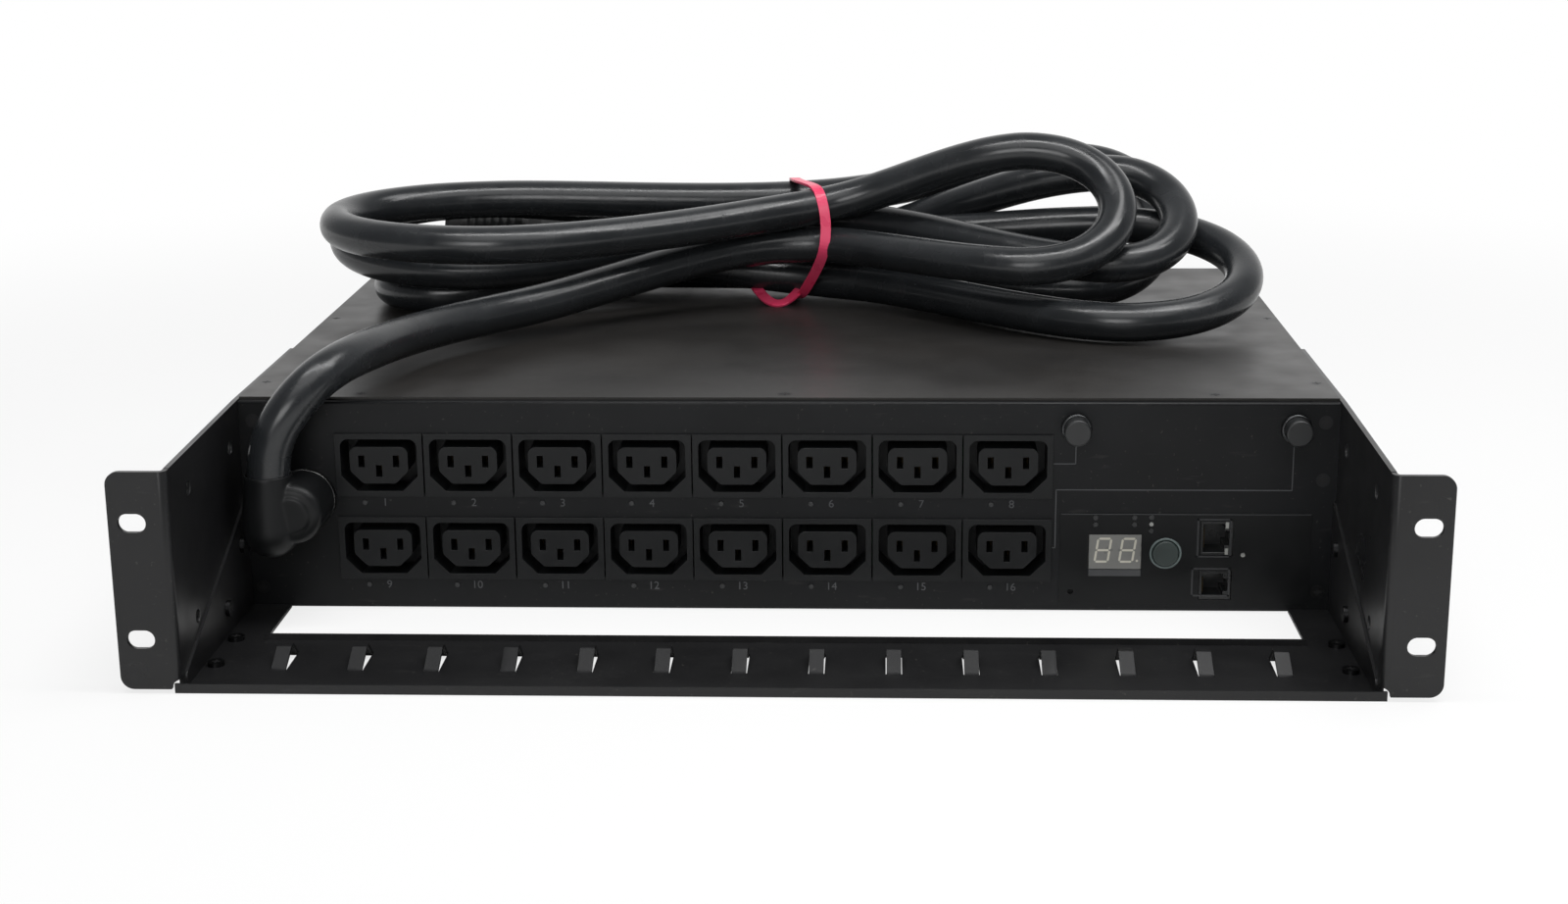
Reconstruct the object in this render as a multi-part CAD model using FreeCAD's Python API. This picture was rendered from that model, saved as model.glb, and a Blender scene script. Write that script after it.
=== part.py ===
"""Rack power distribution unit, two rack units high, with sixteen switched outlets.

Millimetres, +Z up.  The outlets face -Y and +X is to the right of someone who looks at them.  The origin is
in the middle of the footprint, on the underside.  The box is folded steel sheet, set back behind its ears.
"""
import FreeCAD, Part
import math
import os

V = FreeCAD.Vector
X_AXIS = V(1, 0, 0)
Y_AXIS = V(0, 1, 0)
Z_AXIS = V(0, 0, 1)

# Front panel layout: these add up to the width and the height of the box
CORD_BAY = 38.0             # left edge of the panel to the first outlet
OUTLET_COLUMNS = 8
OUTLET_PITCH = 36.0
CONTROL_BAY = 112.0         # last outlet to the right edge of the panel
ROW_LOW_Z = 25.6            # middle of the lower outlet row
ROW_SPACING = 34.7
ROW_TOP_MARGIN = 27.3       # middle of the upper row to the top of the cover

# Box of folded sheet
BOX_DEPTH = 285.0
SHEET = 1.2
BEND = 1.8                  # outside radius of a fold
RETURN = 11.0               # edges folded in
COVER_LIP = 12.0            # the cover's rear edge, folded down
COVER_SETBACK = 3.0         # the cover's front edge behind the panel's face
PANEL_FLANGE = 14.0         # the panel's top edge, folded back under the cover
PANEL_FOLD = 1.08           # outside radius of that fold

# Rack brackets and their ears
RECESS = 100.0              # ear face to front panel
BRACKET_LAP = 96.0          # length of a bracket along the box
BRACKET_SHEET = 2.0
BRACKET_BEND = 3.0
BRACKET_TOP_GAP = 0.6       # bracket's top edge below the top of the cover
EAR_REACH = 22.3            # side of the box to the ear's outer edge
EAR_HEIGHT = 83.0
EAR_MIDDLE_Z = 43.0
EAR_CORNER = 5.0
EAR_RELIEF = 3.5            # notch at the foot of the fold
SLOT_INSET = 8.74           # ear's outer edge to the middle of a slot
SLOT_SPACING = 44.45
SLOT_LENGTH = 10.4
SLOT_HEIGHT = 7.1
SPARE_HOLE_R = 2.75         # unused fixing holes of the bracket
SPARE_HOLE_Y = (27.0, 85.0)
FIXING_HIGH_Z = 71.0
FIXING_LOW_Z = 20.8
FIXING_Y = (43.0, 78.0)     # bracket screws, behind the panel

# Cord tray
TRAY_SHEET = 1.2
TRAY_FLOOR = 57.0           # depth of the floor in front of the cord gap
TRAY_LIP = 3.6
TRAY_RAIL = 17.0            # width of the floor beside the cord gap
TRAY_GAP = 0.5              # tray to front panel
GUSSET_FRONT = 6.0
GUSSET_REAR = 46.0
GUSSET_ROUND = 2.0
GUSSET_SCREWS = ((62.0, 12.0), (88.0, 30.0))
TRAY_LIP_OVER = 2.4         # front lip past the side of the box, into the notch of the ear
FLOOR_SCREW_Y = (27.0, 56.0)
FLOOR_SCREW_INSET = 4.4
BRIDGE_COUNT = 14
BRIDGE_PITCH = 29.0
BRIDGE_WIDTH = 5.5
BRIDGE_FRONT = 21.8         # ear face to the near foot of a bridge
BRIDGE_LENGTH = 21.3
BRIDGE_RAMP = 12.0          # near foot to the crest
BRIDGE_CREST = 2.4
BRIDGE_CLEAR = 5.7          # underside of the tray to the underside of a bridge
BRIDGE_FOOT_BEND = 4.0
BRIDGE_TOP_BEND = 1.6
BRIDGE_KERF = 0.3           # slit beside a bridge

# Outlets
OUTLET_HEIGHT = 26.0
OUTLET_SEAM = 0.25          # half the gap between neighbours
OUTLET_FACE = 1.2           # rim standing proud of the panel
OUTLET_LAP = 1.2            # rim over the edge of the panel's cut-out
OUTLET_DEPTH = 24.0
CORE_WIDTH = 23.6
CORE_HEIGHT = 15.2
CORE_CHAMFER = 5.2
CORE_ROUND = 3.0            # upper corners
CORE_FLOW = 2.4             # ends of the lower chamfers
GROOVE_SIDE = 3.6           # width of the groove beside the core
GROOVE_RISE = 3.1           # and above and below it
GROOVE_CHAMFER = 6.2
GROOVE_ROUND = 3.2
GROOVE_FLOW = 0.8
GROOVE_DEPTH = 15.0
PIN_SPACING = 14.0
PIN_RISE = 1.6              # live and neutral above the middle of the core
EARTH_DROP = 4.0            # earth below live and neutral
PIN_SLOT_WIDTH = 2.4
PIN_SLOT_HEIGHT = 4.8
CONTACT_START = 9.5         # face to the mouth of the contact clip
CONTACT_DEPTH = 16.0
CONTACT_LEAF = 0.4
TAB_WIDTH = 0.8
TAB_HEIGHT = 3.6
LIGHT_SHIFT = 6.6           # outlet light, left of the outlet's middle
LIGHT_DROP = 2.8            # outlet light, below the rim
LIGHT_R = 1.0

# Relay boards behind the outlets
BOARD = 1.6
RELAY_BOARD_BACK = 32.0     # face of the panel to the board
RELAY_BOARD_UP = 16.3
RELAY_BOARD_DOWN = 17.3
RELAY_WIDTH = 12.0
RELAY_HEIGHT = 24.0
RELAY_DEPTH = 16.0
RELAY_CHAMFER = 0.6

# Breakers
BREAKER_1_SHIFT = 8.7       # right of the last outlet
BREAKER_2_INSET = 17.0      # left of the panel's right edge
BREAKER_DROP = 11.6         # below the top of the cover
BREAKER_WIDTH = 11.0
BREAKER_UP = 8.2
BREAKER_DOWN = 21.0
BREAKER_DEPTH = 34.0
BREAKER_NECK_R = 4.8
BREAKER_NUT_R = 6.1
BREAKER_NUT = 2.2
BREAKER_NUT_CHAMFER = 0.5
BREAKER_CAP_R = 5.3
BREAKER_CAP = 6.4
BREAKER_CAP_ROUND = 0.8
BREAKER_STEM_R = 3.0
BREAKER_STEM = 12.0
BREAKER_REST_GAP = 0.5      # cap to nut when set

# Control area, measured from the right edge of the last outlet and from the underside
CONTROL_BOARD_BACK = 14.0
CONTROL_BOARD_LEFT = 3.5
CONTROL_BOARD_INSET = 13.0  # from the side of the box
CONTROL_BOARD_LOW = 4.0
CONTROL_BOARD_HIGH = 46.0
OVERLAY = 0.3
OVERLAY_LEFT = 3.0
OVERLAY_INSET = 9.0         # from the side of the box
OVERLAY_LOW = 3.4
OVERLAY_HIGH = 41.0
DISPLAY_SHIFT = 25.2
DISPLAY_Z = 25.0
DISPLAY_WIDTH = 20.9
DISPLAY_HEIGHT = 14.3
DISPLAY_PROUD = 0.5
SELECT_SHIFT = 45.3
SELECT_Z = 24.6
SELECT_R = 5.2
SELECT_PROUD = 1.8
SELECT_ROUND = 0.6
SELECT_BACK = 6.0
SELECT_TRAVEL = 0.8
SELECT_RING = 0.9
SELECT_RING_HEIGHT = 0.7
RESET_SHIFT = 7.7
RESET_Z = 8.3
RESET_R = 1.6
RESET_PINHOLE_R = 1.1
RESET_BEHIND = 1.5          # back of the panel to the plunger
RESET_TRAVEL = 0.6
SWITCH_SIZE = 6.0
SWITCH_DEPTH = 4.5
JACK_SHIFT = 65.5
JACK_DEPTH = 11.5
JACK_WALL = 1.2
JACK_NOTCH = 2.1
NETWORK_Z = 30.8
NETWORK_WIDTH = 11.8
NETWORK_HEIGHT = 8.3
NETWORK_NOTCH_WIDTH = 6.2
NETWORK_WIRES = 8
SERIAL_Z = 11.2
SERIAL_WIDTH = 9.7
SERIAL_HEIGHT = 8.3
SERIAL_NOTCH_WIDTH = 5.4
SERIAL_WIRES = 6
WIRE_PITCH = 1.02
WIRE = 0.5
STATUS_LIGHTS = ((17.2, 39.2), (17.2, 36.4), (32.7, 39.2), (32.7, 36.4),
                 (39.4, 39.4), (39.4, 36.6), (39.4, 33.8), (76.1, 23.9))
POST_R = 2.8
POST_EDGE = 3.6             # middle of a post from the edge of its board
POST_LOW_SHIFT = 14.0       # the lower left post keeps clear of the reset switch

# Pieces on the floor of the box, behind the relay boards
SUPPLY_BACK = 95.0          # face of the panel to the supply board
SUPPLY_WIDTH = 110.0
SUPPLY_LENGTH = 80.0
SUPPLY_X = 120.0
SUPPLY_LIFT = 8.0
CORE_STACK = 28.0           # transformer
CORE_SPAN = 48.0
CORE_TALL = 40.0
BOBBIN_OVERHANG = 7.0
SENSOR_R = 12.0
SENSOR_BORE_R = 5.0
SENSOR_THICK = 10.0
TERMINAL_BACK = 75.0
TERMINAL_WIDTH = 52.0
TERMINAL_LENGTH = 22.0
TERMINAL_HEIGHT = 24.0
TERMINAL_X = -150.0
TERMINAL_WAYS = 3
TERMINAL_FIN = 2.0
STUD_INSET = 24.0           # from the left side of the box
STUD_BACK = 85.0
STUD_R = 2.5
STUD_HEIGHT = 16.0
STUD_NUT_R = 4.6
STUD_NUT = 4.0

# Cord entry: a right-angle strain relief
ELBOW_INSET = 25.5          # left edge of the panel to the barrel
ELBOW_Z = 46.5
ELBOW_R = 12.3
ELBOW_OUT = 27.0            # front of the barrel from the panel
ELBOW_ROUND = 4.0
ELBOW_DISC_R = 7.3
ELBOW_DISC = 0.8
ELBOW_NUT = 2.6
ELBOW_NECK_R = 9.5
ELBOW_NECK = 16.0
ELBOW_LOCKNUT_R = 13.0
ELBOW_LOCKNUT = 4.0
SLEEVE_SHIFT = 9.6          # sleeve's axis left of the barrel's
SLEEVE_OUT = 20.0           # sleeve's axis in front of the panel
SLEEVE_BASE_R = 11.6
SLEEVE_TIP_R = 9.4
SLEEVE_TOP = 15.5           # above the barrel's axis
SLEEVE_DROP = 7.0           # sleeve's rounded heel, below the barrel's axis
SLEEVE_SOCKET = 8.5         # how far the cord goes in

# Supply cord, its tie and its plug
CORD_R = 8.5
ARC_SHARE = 0.45            # an arc's reach along the shorter of its two runs
POCKET_GAP = 0.25
TIE_X = 10.0
TIE_WIDTH = 4.8
TIE_THICK = 1.2
TIE_HEAD = 6.4
TIE_HEAD_LENGTH = 8.5
PLUG_LENGTH = 62.0
PLUG_R = 19.0
PLUG_GRIP_R = 11.5
PLUG_FACE_R = 17.5
PLUG_NECK = 14.0            # cord end to the start of the flare
PLUG_NECK_R = 13.0
PLUG_FLARE = 22.0           # cord end to the full body
PLUG_EDGE = 4.0             # taper at the face
PLUG_X = -118.0             # cord end of the plug
PLUG_BACK = 271.0           # face of the panel to the plug's axis
BLADE_R = 12.5
BLADE_THICK = 1.8
BLADE_LENGTH = 20.0
BLADE_ANGLE = 34.0

# Screws
SCREW_R = 1.9
SCREW_HEAD_R = 3.2
SCREW_HEAD = 1.6
FLAT_HEAD_R = 2.8           # countersunk heads, flush with the cover and the panel
SCREW_CLEAR = 0.15
SCREW_REACH = 4.0           # shank past the sheets that it holds
COVER_SCREW_INSET = 4.6     # from the box's sides
COVER_SCREW_SIDE_Y = (29.0, 158.0)
COVER_SCREW_EDGE = 9.0      # front and rear screws, from the ends of the box
COVER_SCREW_ROW_X = 171.0
PANEL_SCREW_INSET = 5.6
PANEL_SCREW_Z = (8.5, 55.0, 78.5)
OVERCUT = 1.0               # how far a cutter passes the face that it cuts
FIT = 0.1                   # loose fit between pieces that slip into each other
RUN = 0.3                   # room round pieces that move

# Worked out from the sizes above
BOX_WIDTH = CORD_BAY + OUTLET_COLUMNS * OUTLET_PITCH + CONTROL_BAY
BOX_HEIGHT = ROW_LOW_Z + ROW_SPACING + ROW_TOP_MARGIN
HALF = BOX_WIDTH / 2
LID_UNDER = BOX_HEIGHT - SHEET
Y_EAR = -(RECESS + BOX_DEPTH) / 2
Y_PANEL = Y_EAR + RECESS
Y_BEHIND = Y_PANEL + SHEET
Y_REAR = Y_PANEL + BOX_DEPTH
STRIP_LEFT = -HALF + CORD_BAY
STRIP_RIGHT = STRIP_LEFT + OUTLET_COLUMNS * OUTLET_PITCH
ROW_MIDDLES = (ROW_LOW_Z + ROW_SPACING, ROW_LOW_Z)
OUTLET_MIDDLES = [STRIP_LEFT + OUTLET_PITCH * (column + 0.5) for column in range(OUTLET_COLUMNS)]
BREAKER_Z = BOX_HEIGHT - BREAKER_DROP
BREAKER_MIDDLES = (STRIP_RIGHT + BREAKER_1_SHIFT, HALF - BREAKER_2_INSET)
ELBOW_X = -HALF + ELBOW_INSET
STUD_X = -HALF + STUD_INSET


def block(x0, x1, y0, y1, z0, z1):
    """A box between two corners."""
    return Part.makeBox(x1 - x0, y1 - y0, z1 - z0, V(x0, y0, z0))


def rod(radius, start, end):
    """A round bar from one point to another."""
    return Part.makeCylinder(radius, (end - start).Length, start, end - start)


def rod_y(radius, x, z, y0, y1):
    """A round bar along Y."""
    return rod(radius, V(x, y0, z), V(x, y1, z))


def union(shapes):
    """All shapes fused into one, with split faces joined again."""
    return shapes[0].multiFuse(shapes[1:]).removeSplitter()


def cut_all(shape, tools):
    """A shape with every tool cut out of it."""
    return shape.cut(Part.makeCompound(tools))


def rounded_wire(corners, place):
    """A closed outline through corners (u, v, radius), each rounded by a tangent arc."""
    points = [V(u, v, 0) for u, v, _ in corners]
    ends = []
    for index, (_, _, radius) in enumerate(corners):
        here = points[index]
        back = (points[index - 1] - here).normalize()
        ahead = (points[(index + 1) % len(points)] - here).normalize()
        half_angle = back.getAngle(ahead) / 2
        reach = radius / math.tan(half_angle)
        inward = (back + ahead).normalize()
        middle = here + inward * (radius / math.sin(half_angle) - radius)
        ends.append((here + back * reach, middle, here + ahead * reach, radius))
    edges = []
    for index, (start, middle, end, radius) in enumerate(ends):
        before = ends[index - 1][2]
        if (start - before).Length > 1e-6:
            edges.append(Part.LineSegment(place(before), place(start)).toShape())
        if radius > 0:
            edges.append(Part.Arc(place(start), place(middle), place(end)).toShape())
    return Part.Wire(edges)


def prism_x(corners, x0, x1):
    """An outline of (y, z, radius) corners carried along X."""
    wire = rounded_wire(corners, lambda point: V(x0, point.x, point.y))
    return Part.Face(wire).extrude(V(x1 - x0, 0, 0))


def prism_y(corners, y0, y1):
    """An outline of (x, z, radius) corners carried along Y."""
    wire = rounded_wire(corners, lambda point: V(point.x, y0, point.y))
    return Part.Face(wire).extrude(V(0, y1 - y0, 0))


def prism_z(corners, z0, z1):
    """An outline of (x, y, radius) corners carried along Z."""
    wire = rounded_wire(corners, lambda point: V(point.x, point.y, z0))
    return Part.Face(wire).extrude(V(0, 0, z1 - z0))


def rectangle(u0, u1, v0, v1, radius=0.0):
    """The corners of a rectangle, all rounded alike."""
    return [(u0, v0, radius), (u1, v0, radius), (u1, v1, radius), (u0, v1, radius)]


def group(pieces):
    """Like pieces kept as separate solids in one shape."""
    return Part.makeCompound(pieces)


def screw(seat, inward, reach):
    """A pan-head screw: its head stands on the seat and its shank runs inward."""
    head = rod(SCREW_HEAD_R, seat - inward * SCREW_HEAD, seat)
    return head.fuse(rod(SCREW_R, seat, seat + inward * reach)).removeSplitter()


def screw_hole(seat, inward, reach):
    """The clearance hole of such a screw, through the sheets that it holds."""
    return rod(SCREW_R + SCREW_CLEAR, seat - inward * SCREW_HEAD, seat + inward * reach)


def flat_screw(seat, inward, reach):
    """A countersunk screw: its head is flush with the seat and its shank runs inward."""
    head = Part.makeCone(FLAT_HEAD_R, SCREW_R, FLAT_HEAD_R - SCREW_R, seat, inward)
    return head.fuse(rod(SCREW_R, seat, seat + inward * reach)).removeSplitter()


def flat_hole(seat, inward, reach):
    """The hole of such a screw: a countersink in which the head sits, and clearance round the shank."""
    hole = SCREW_R + SCREW_CLEAR
    sink = Part.makeCone(FLAT_HEAD_R, hole, FLAT_HEAD_R - hole, seat, inward)
    return sink.fuse(rod(hole, seat, seat + inward * reach))


def save(name, shape):
    """Writes one piece to its own file."""
    shape.exportStep("parts/" + name + ".step")


# Places of the screws, each as (seat, direction of the shank)
COVER_SCREWS = [(V(side * (HALF - COVER_SCREW_INSET), Y_PANEL + y, BOX_HEIGHT), -Z_AXIS)
                for side in (-1, 1) for y in COVER_SCREW_SIDE_Y]
COVER_SCREWS += [(V(x, y, BOX_HEIGHT), -Z_AXIS)
                 for y in (Y_PANEL + COVER_SCREW_EDGE, Y_REAR - COVER_SCREW_EDGE)
                 for x in (-COVER_SCREW_ROW_X, COVER_SCREW_ROW_X)]
COVER_SCREWS.append((V(0, Y_PANEL + COVER_SCREW_EDGE, BOX_HEIGHT), -Z_AXIS))
PANEL_SCREWS = [(V(side * (HALF - PANEL_SCREW_INSET), Y_PANEL, z), Y_AXIS)
                for side in (-1, 1) for z in PANEL_SCREW_Z]
BOX_SIDE_SCREWS = [(V(side * (HALF + BRACKET_SHEET), Y_PANEL + y, z), X_AXIS * -side)
                   for side in (-1, 1) for y in FIXING_Y for z in (FIXING_LOW_Z, FIXING_HIGH_Z)]
TRAY_SCREWS = [(V(side * (HALF - TRAY_SHEET), Y_EAR + y, z), X_AXIS * side)
               for side in (-1, 1) for y, z in GUSSET_SCREWS]
FLOOR_SCREWS = [(V(side * (HALF - TRAY_SHEET - FLOOR_SCREW_INSET), Y_EAR + y, TRAY_SHEET), -Z_AXIS)
                for side in (-1, 1) for y in FLOOR_SCREW_Y]
SHEETS = SHEET + BRACKET_SHEET + SCREW_REACH


def chassis_base():
    """Bottom, sides and rear wall in one folded sheet, with edges turned in at the front and the top."""
    rear = Y_REAR - SHEET
    shell = block(-HALF, HALF, Y_BEHIND, rear, 0, LID_UNDER)
    folds = [edge for edge in shell.Edges
             if edge.BoundBox.ZMax < 1e-6 and edge.BoundBox.YMax > Y_BEHIND + 1e-6]
    folds += [edge for edge in shell.Edges if edge.BoundBox.YMin > rear - 1e-6 and edge.BoundBox.ZLength > SHEET]
    shell = shell.makeFillet(BEND, folds)
    hollow = block(-HALF + SHEET, HALF - SHEET, Y_BEHIND + SHEET, rear - SHEET, SHEET, LID_UNDER - SHEET)
    front = block(-HALF + RETURN, HALF - RETURN, Y_PANEL, Y_BEHIND + SHEET, SHEET, LID_UNDER)
    top = block(-HALF + RETURN, HALF - RETURN, Y_PANEL, rear - RETURN, LID_UNDER - SHEET, BOX_HEIGHT)
    holes = [flat_hole(seat, way, SHEETS) for seat, way in COVER_SCREWS + PANEL_SCREWS]
    holes += [screw_hole(seat, way, SHEETS) for seat, way in BOX_SIDE_SCREWS]
    holes.append(rod(STUD_R + FIT, V(STUD_X, Y_PANEL + STUD_BACK, 0), V(STUD_X, Y_PANEL + STUD_BACK, SHEET)))
    return cut_all(shell, [hollow, front, top] + holes)


def outlet_cut_outs():
    """One long cut-out of the panel for each row of outlets."""
    return [block(STRIP_LEFT + OUTLET_LAP, STRIP_RIGHT - OUTLET_LAP, Y_PANEL - RETURN, Y_PANEL + RETURN,
                  z - OUTLET_HEIGHT / 2 + OUTLET_LAP, z + OUTLET_HEIGHT / 2 - OUTLET_LAP)
            for z in ROW_MIDDLES]


def outlet_light_places():
    """Middle of each outlet's light, numbered as the outlets are."""
    return [(x - LIGHT_SHIFT, z - OUTLET_HEIGHT / 2 - LIGHT_DROP) for z in ROW_MIDDLES for x in OUTLET_MIDDLES]


def status_light_places():
    """Middle of each light of the control area."""
    return [(STRIP_RIGHT + shift, z) for shift, z in STATUS_LIGHTS]


def jack_outline(z, width, height, margin=0.0):
    """Left, right, low and high side of a jack's body, which stands with its latch to the right."""
    left = STRIP_RIGHT + JACK_SHIFT - (height + JACK_NOTCH) / 2
    return (left - JACK_WALL - margin, left + height + JACK_NOTCH + JACK_WALL + margin,
            z - width / 2 - JACK_WALL - margin, z + width / 2 + JACK_WALL + margin)


def control_cut_outs(y0, y1):
    """What the panel and the overlay leave open for the controls, between two depths."""
    display_x = STRIP_RIGHT + DISPLAY_SHIFT
    cuts = [block(display_x - DISPLAY_WIDTH / 2 - FIT, display_x + DISPLAY_WIDTH / 2 + FIT, y0, y1,
                  DISPLAY_Z - DISPLAY_HEIGHT / 2 - FIT, DISPLAY_Z + DISPLAY_HEIGHT / 2 + FIT),
            rod_y(SELECT_R + RUN, STRIP_RIGHT + SELECT_SHIFT, SELECT_Z, y0, y1),
            rod_y(RESET_PINHOLE_R, STRIP_RIGHT + RESET_SHIFT, RESET_Z, y0, y1)]
    for z, width, height in ((NETWORK_Z, NETWORK_WIDTH, NETWORK_HEIGHT), (SERIAL_Z, SERIAL_WIDTH, SERIAL_HEIGHT)):
        x0, x1, z0, z1 = jack_outline(z, width, height, FIT)
        cuts.append(block(x0, x1, y0, y1, z0, z1))
    cuts += [rod_y(LIGHT_R + FIT, x, z, y0, y1) for x, z in status_light_places()]
    return cuts


def front_panel():
    """Flat front with its top and bottom edges folded back."""
    inside = HALF - RETURN - RUN
    face = block(-HALF, HALF, Y_PANEL, Y_BEHIND, 0, LID_UNDER)
    top = block(-inside, inside, Y_PANEL, Y_PANEL + PANEL_FLANGE, LID_UNDER - SHEET, LID_UNDER)
    foot = block(-inside, inside, Y_PANEL, Y_PANEL + RETURN, SHEET, 2 * SHEET)
    sheet = union([face, top, foot])
    fold = [edge for edge in sheet.Edges
            if edge.BoundBox.XLength > 2 * inside and edge.BoundBox.YMax < Y_PANEL + 1e-6]
    sheet = sheet.makeFillet(PANEL_FOLD, fold)
    cuts = outlet_cut_outs() + control_cut_outs(Y_PANEL - SHEET, Y_BEHIND + FIT)
    cuts += [rod_y(BREAKER_NECK_R + FIT, x, BREAKER_Z, Y_PANEL - SHEET, Y_BEHIND + FIT) for x in BREAKER_MIDDLES]
    cuts += [rod_y(LIGHT_R + FIT, x, z, Y_PANEL - SHEET, Y_BEHIND + FIT) for x, z in outlet_light_places()]
    cuts.append(rod_y(ELBOW_NECK_R + FIT, ELBOW_X, ELBOW_Z, Y_PANEL - SHEET, Y_BEHIND + FIT))
    cuts += [flat_hole(seat, way, SHEETS) for seat, way in COVER_SCREWS + PANEL_SCREWS]
    return cut_all(sheet, cuts)


def top_cover():
    """Flat lid whose rear edge is folded down over the rear wall."""
    lid = block(-HALF, HALF, Y_PANEL + COVER_SETBACK, Y_REAR, LID_UNDER, BOX_HEIGHT)
    lip = block(-HALF, HALF, Y_REAR - SHEET, Y_REAR, BOX_HEIGHT - COVER_LIP, BOX_HEIGHT)
    sheet = union([lid, lip])
    fold = [edge for edge in sheet.Edges
            if edge.BoundBox.XLength > BOX_WIDTH - 1e-6 and edge.BoundBox.YMin > Y_REAR - 1e-6
            and edge.BoundBox.ZMin > BOX_HEIGHT - 1e-6]
    sheet = sheet.makeFillet(BEND, fold)
    return cut_all(sheet, [flat_hole(seat, way, SHEETS) for seat, way in COVER_SCREWS])


def bracket(side):
    """Plate along the side of the box, folded out at the front into an ear with two rack slots."""
    low = EAR_MIDDLE_Z - EAR_HEIGHT / 2
    ear_top = EAR_MIDDLE_Z + EAR_HEIGHT / 2
    plate_top = BOX_HEIGHT - BRACKET_TOP_GAP
    inner = HALF
    outer = HALF + BRACKET_SHEET
    edge = HALF + EAR_REACH
    front = Y_EAR
    back = Y_EAR + BRACKET_SHEET
    end = Y_PANEL + BRACKET_LAP
    plan = [(inner, end, 0), (inner, front, BRACKET_BEND), (edge, front, 0), (edge, back, 0),
            (outer, back, BRACKET_BEND - BRACKET_SHEET), (outer, end, 0)]
    sheet = prism_z([(side * x, y, radius) for x, y, radius in plan], low, plate_top)
    before = front - OVERCUT
    above = plate_top + OVERCUT
    over = [(before, ear_top, 0), (Y_PANEL, plate_top, 0), (Y_PANEL, above, 0), (before, above, 0)]
    level = [(before, ear_top, 0), (back + BRACKET_BEND, ear_top, 0), (back + BRACKET_BEND, above, 0),
             (before, above, 0)]
    relief = rod_y(EAR_RELIEF, side * inner, low, before, back + BRACKET_BEND)
    cuts = [prism_x(over, -edge, edge), prism_x(level, -edge, edge), relief]
    slot_x = edge - SLOT_INSET
    for z in (EAR_MIDDLE_Z - SLOT_SPACING / 2, EAR_MIDDLE_Z + SLOT_SPACING / 2):
        flat = (SLOT_LENGTH - SLOT_HEIGHT) / 2
        cuts.append(block(side * slot_x - flat, side * slot_x + flat, front, back,
                          z - SLOT_HEIGHT / 2, z + SLOT_HEIGHT / 2))
        cuts += [rod_y(SLOT_HEIGHT / 2, side * slot_x + shift, z, front, back) for shift in (-flat, flat)]
    spare = [(y, FIXING_HIGH_Z) for y in SPARE_HOLE_Y] + [(SPARE_HOLE_Y[0], FIXING_LOW_Z)]
    cuts += [rod(SPARE_HOLE_R, V(side * inner, Y_EAR + y, z), V(side * outer, Y_EAR + y, z)) for y, z in spare]
    cuts += [screw_hole(seat, way, SHEETS) for seat, way in BOX_SIDE_SCREWS + TRAY_SCREWS]
    sheet = cut_all(sheet, cuts)
    corners = [line for line in sheet.Edges
               if abs(line.BoundBox.YLength - BRACKET_SHEET) < 1e-6
               and abs(line.CenterOfMass.x - side * edge) < 1e-6]
    return sheet.makeFillet(EAR_CORNER, corners)


def bridge_profile():
    """Side view of a lanced bridge: up a long ramp, over a short crest and steeply down again."""
    front = Y_EAR + BRIDGE_FRONT
    back = front + BRIDGE_LENGTH
    rise = front + BRIDGE_RAMP
    fall = rise + BRIDGE_CREST
    under = BRIDGE_CLEAR
    top = BRIDGE_CLEAR + TRAY_SHEET
    toe = front - BRIDGE_FOOT_BEND / 2
    return [(toe, 0, 0), (front, 0, BRIDGE_FOOT_BEND), (rise, under, 0), (fall, under, 0),
            (back - TRAY_SHEET, 0, 0), (back, 0, 0), (back, TRAY_SHEET, 0),
            (fall + TRAY_SHEET / 2, top, BRIDGE_TOP_BEND / 2),
            (rise - TRAY_SHEET / 2, top, BRIDGE_TOP_BEND), (front, TRAY_SHEET, BRIDGE_FOOT_BEND),
            (toe, TRAY_SHEET, 0)]


def cord_tray():
    """Floor with lanced bridges for cord ties, two upturned lips and a gusset at each end."""
    end = Y_PANEL - TRAY_GAP
    floor = block(-HALF, HALF, Y_EAR, end, 0, TRAY_SHEET)
    lip_end = HALF + TRAY_LIP_OVER
    front_lip = block(-lip_end, lip_end, Y_EAR, Y_EAR + TRAY_SHEET, 0, TRAY_LIP)
    gap_front = Y_EAR + TRAY_FLOOR
    gap_side = HALF - TRAY_RAIL
    rear_lip = block(-gap_side, gap_side, gap_front - TRAY_SHEET, gap_front, 0, TRAY_LIP)
    gusset = [(Y_EAR + TRAY_SHEET + EAR_RELIEF, 0, 0), (end, 0, 0), (end, GUSSET_REAR, 0),
              (Y_EAR + TRAY_SHEET + EAR_RELIEF, GUSSET_FRONT, GUSSET_ROUND)]
    ends = [prism_x(gusset, side * HALF, side * (HALF - TRAY_SHEET)) for side in (-1, 1)]
    sheet = union([floor, front_lip, rear_lip] + ends)
    middles = [BRIDGE_PITCH * (index - (BRIDGE_COUNT - 1) / 2) for index in range(BRIDGE_COUNT)]
    slit = BRIDGE_WIDTH / 2 + BRIDGE_KERF
    cuts = [block(-gap_side, gap_side, gap_front, end, 0, TRAY_SHEET)]
    cuts += [block(x - slit, x + slit, Y_EAR + BRIDGE_FRONT, Y_EAR + BRIDGE_FRONT + BRIDGE_LENGTH, 0, TRAY_SHEET)
             for x in middles]
    cuts += [screw_hole(seat, way, TRAY_SHEET + BRACKET_SHEET) for seat, way in TRAY_SCREWS]
    cuts += [screw_hole(seat, way, TRAY_SHEET) for seat, way in FLOOR_SCREWS]
    sheet = cut_all(sheet, cuts)
    straps = [prism_x(bridge_profile(), x - BRIDGE_WIDTH / 2, x + BRIDGE_WIDTH / 2) for x in middles]
    return union([sheet] + straps)


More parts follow.
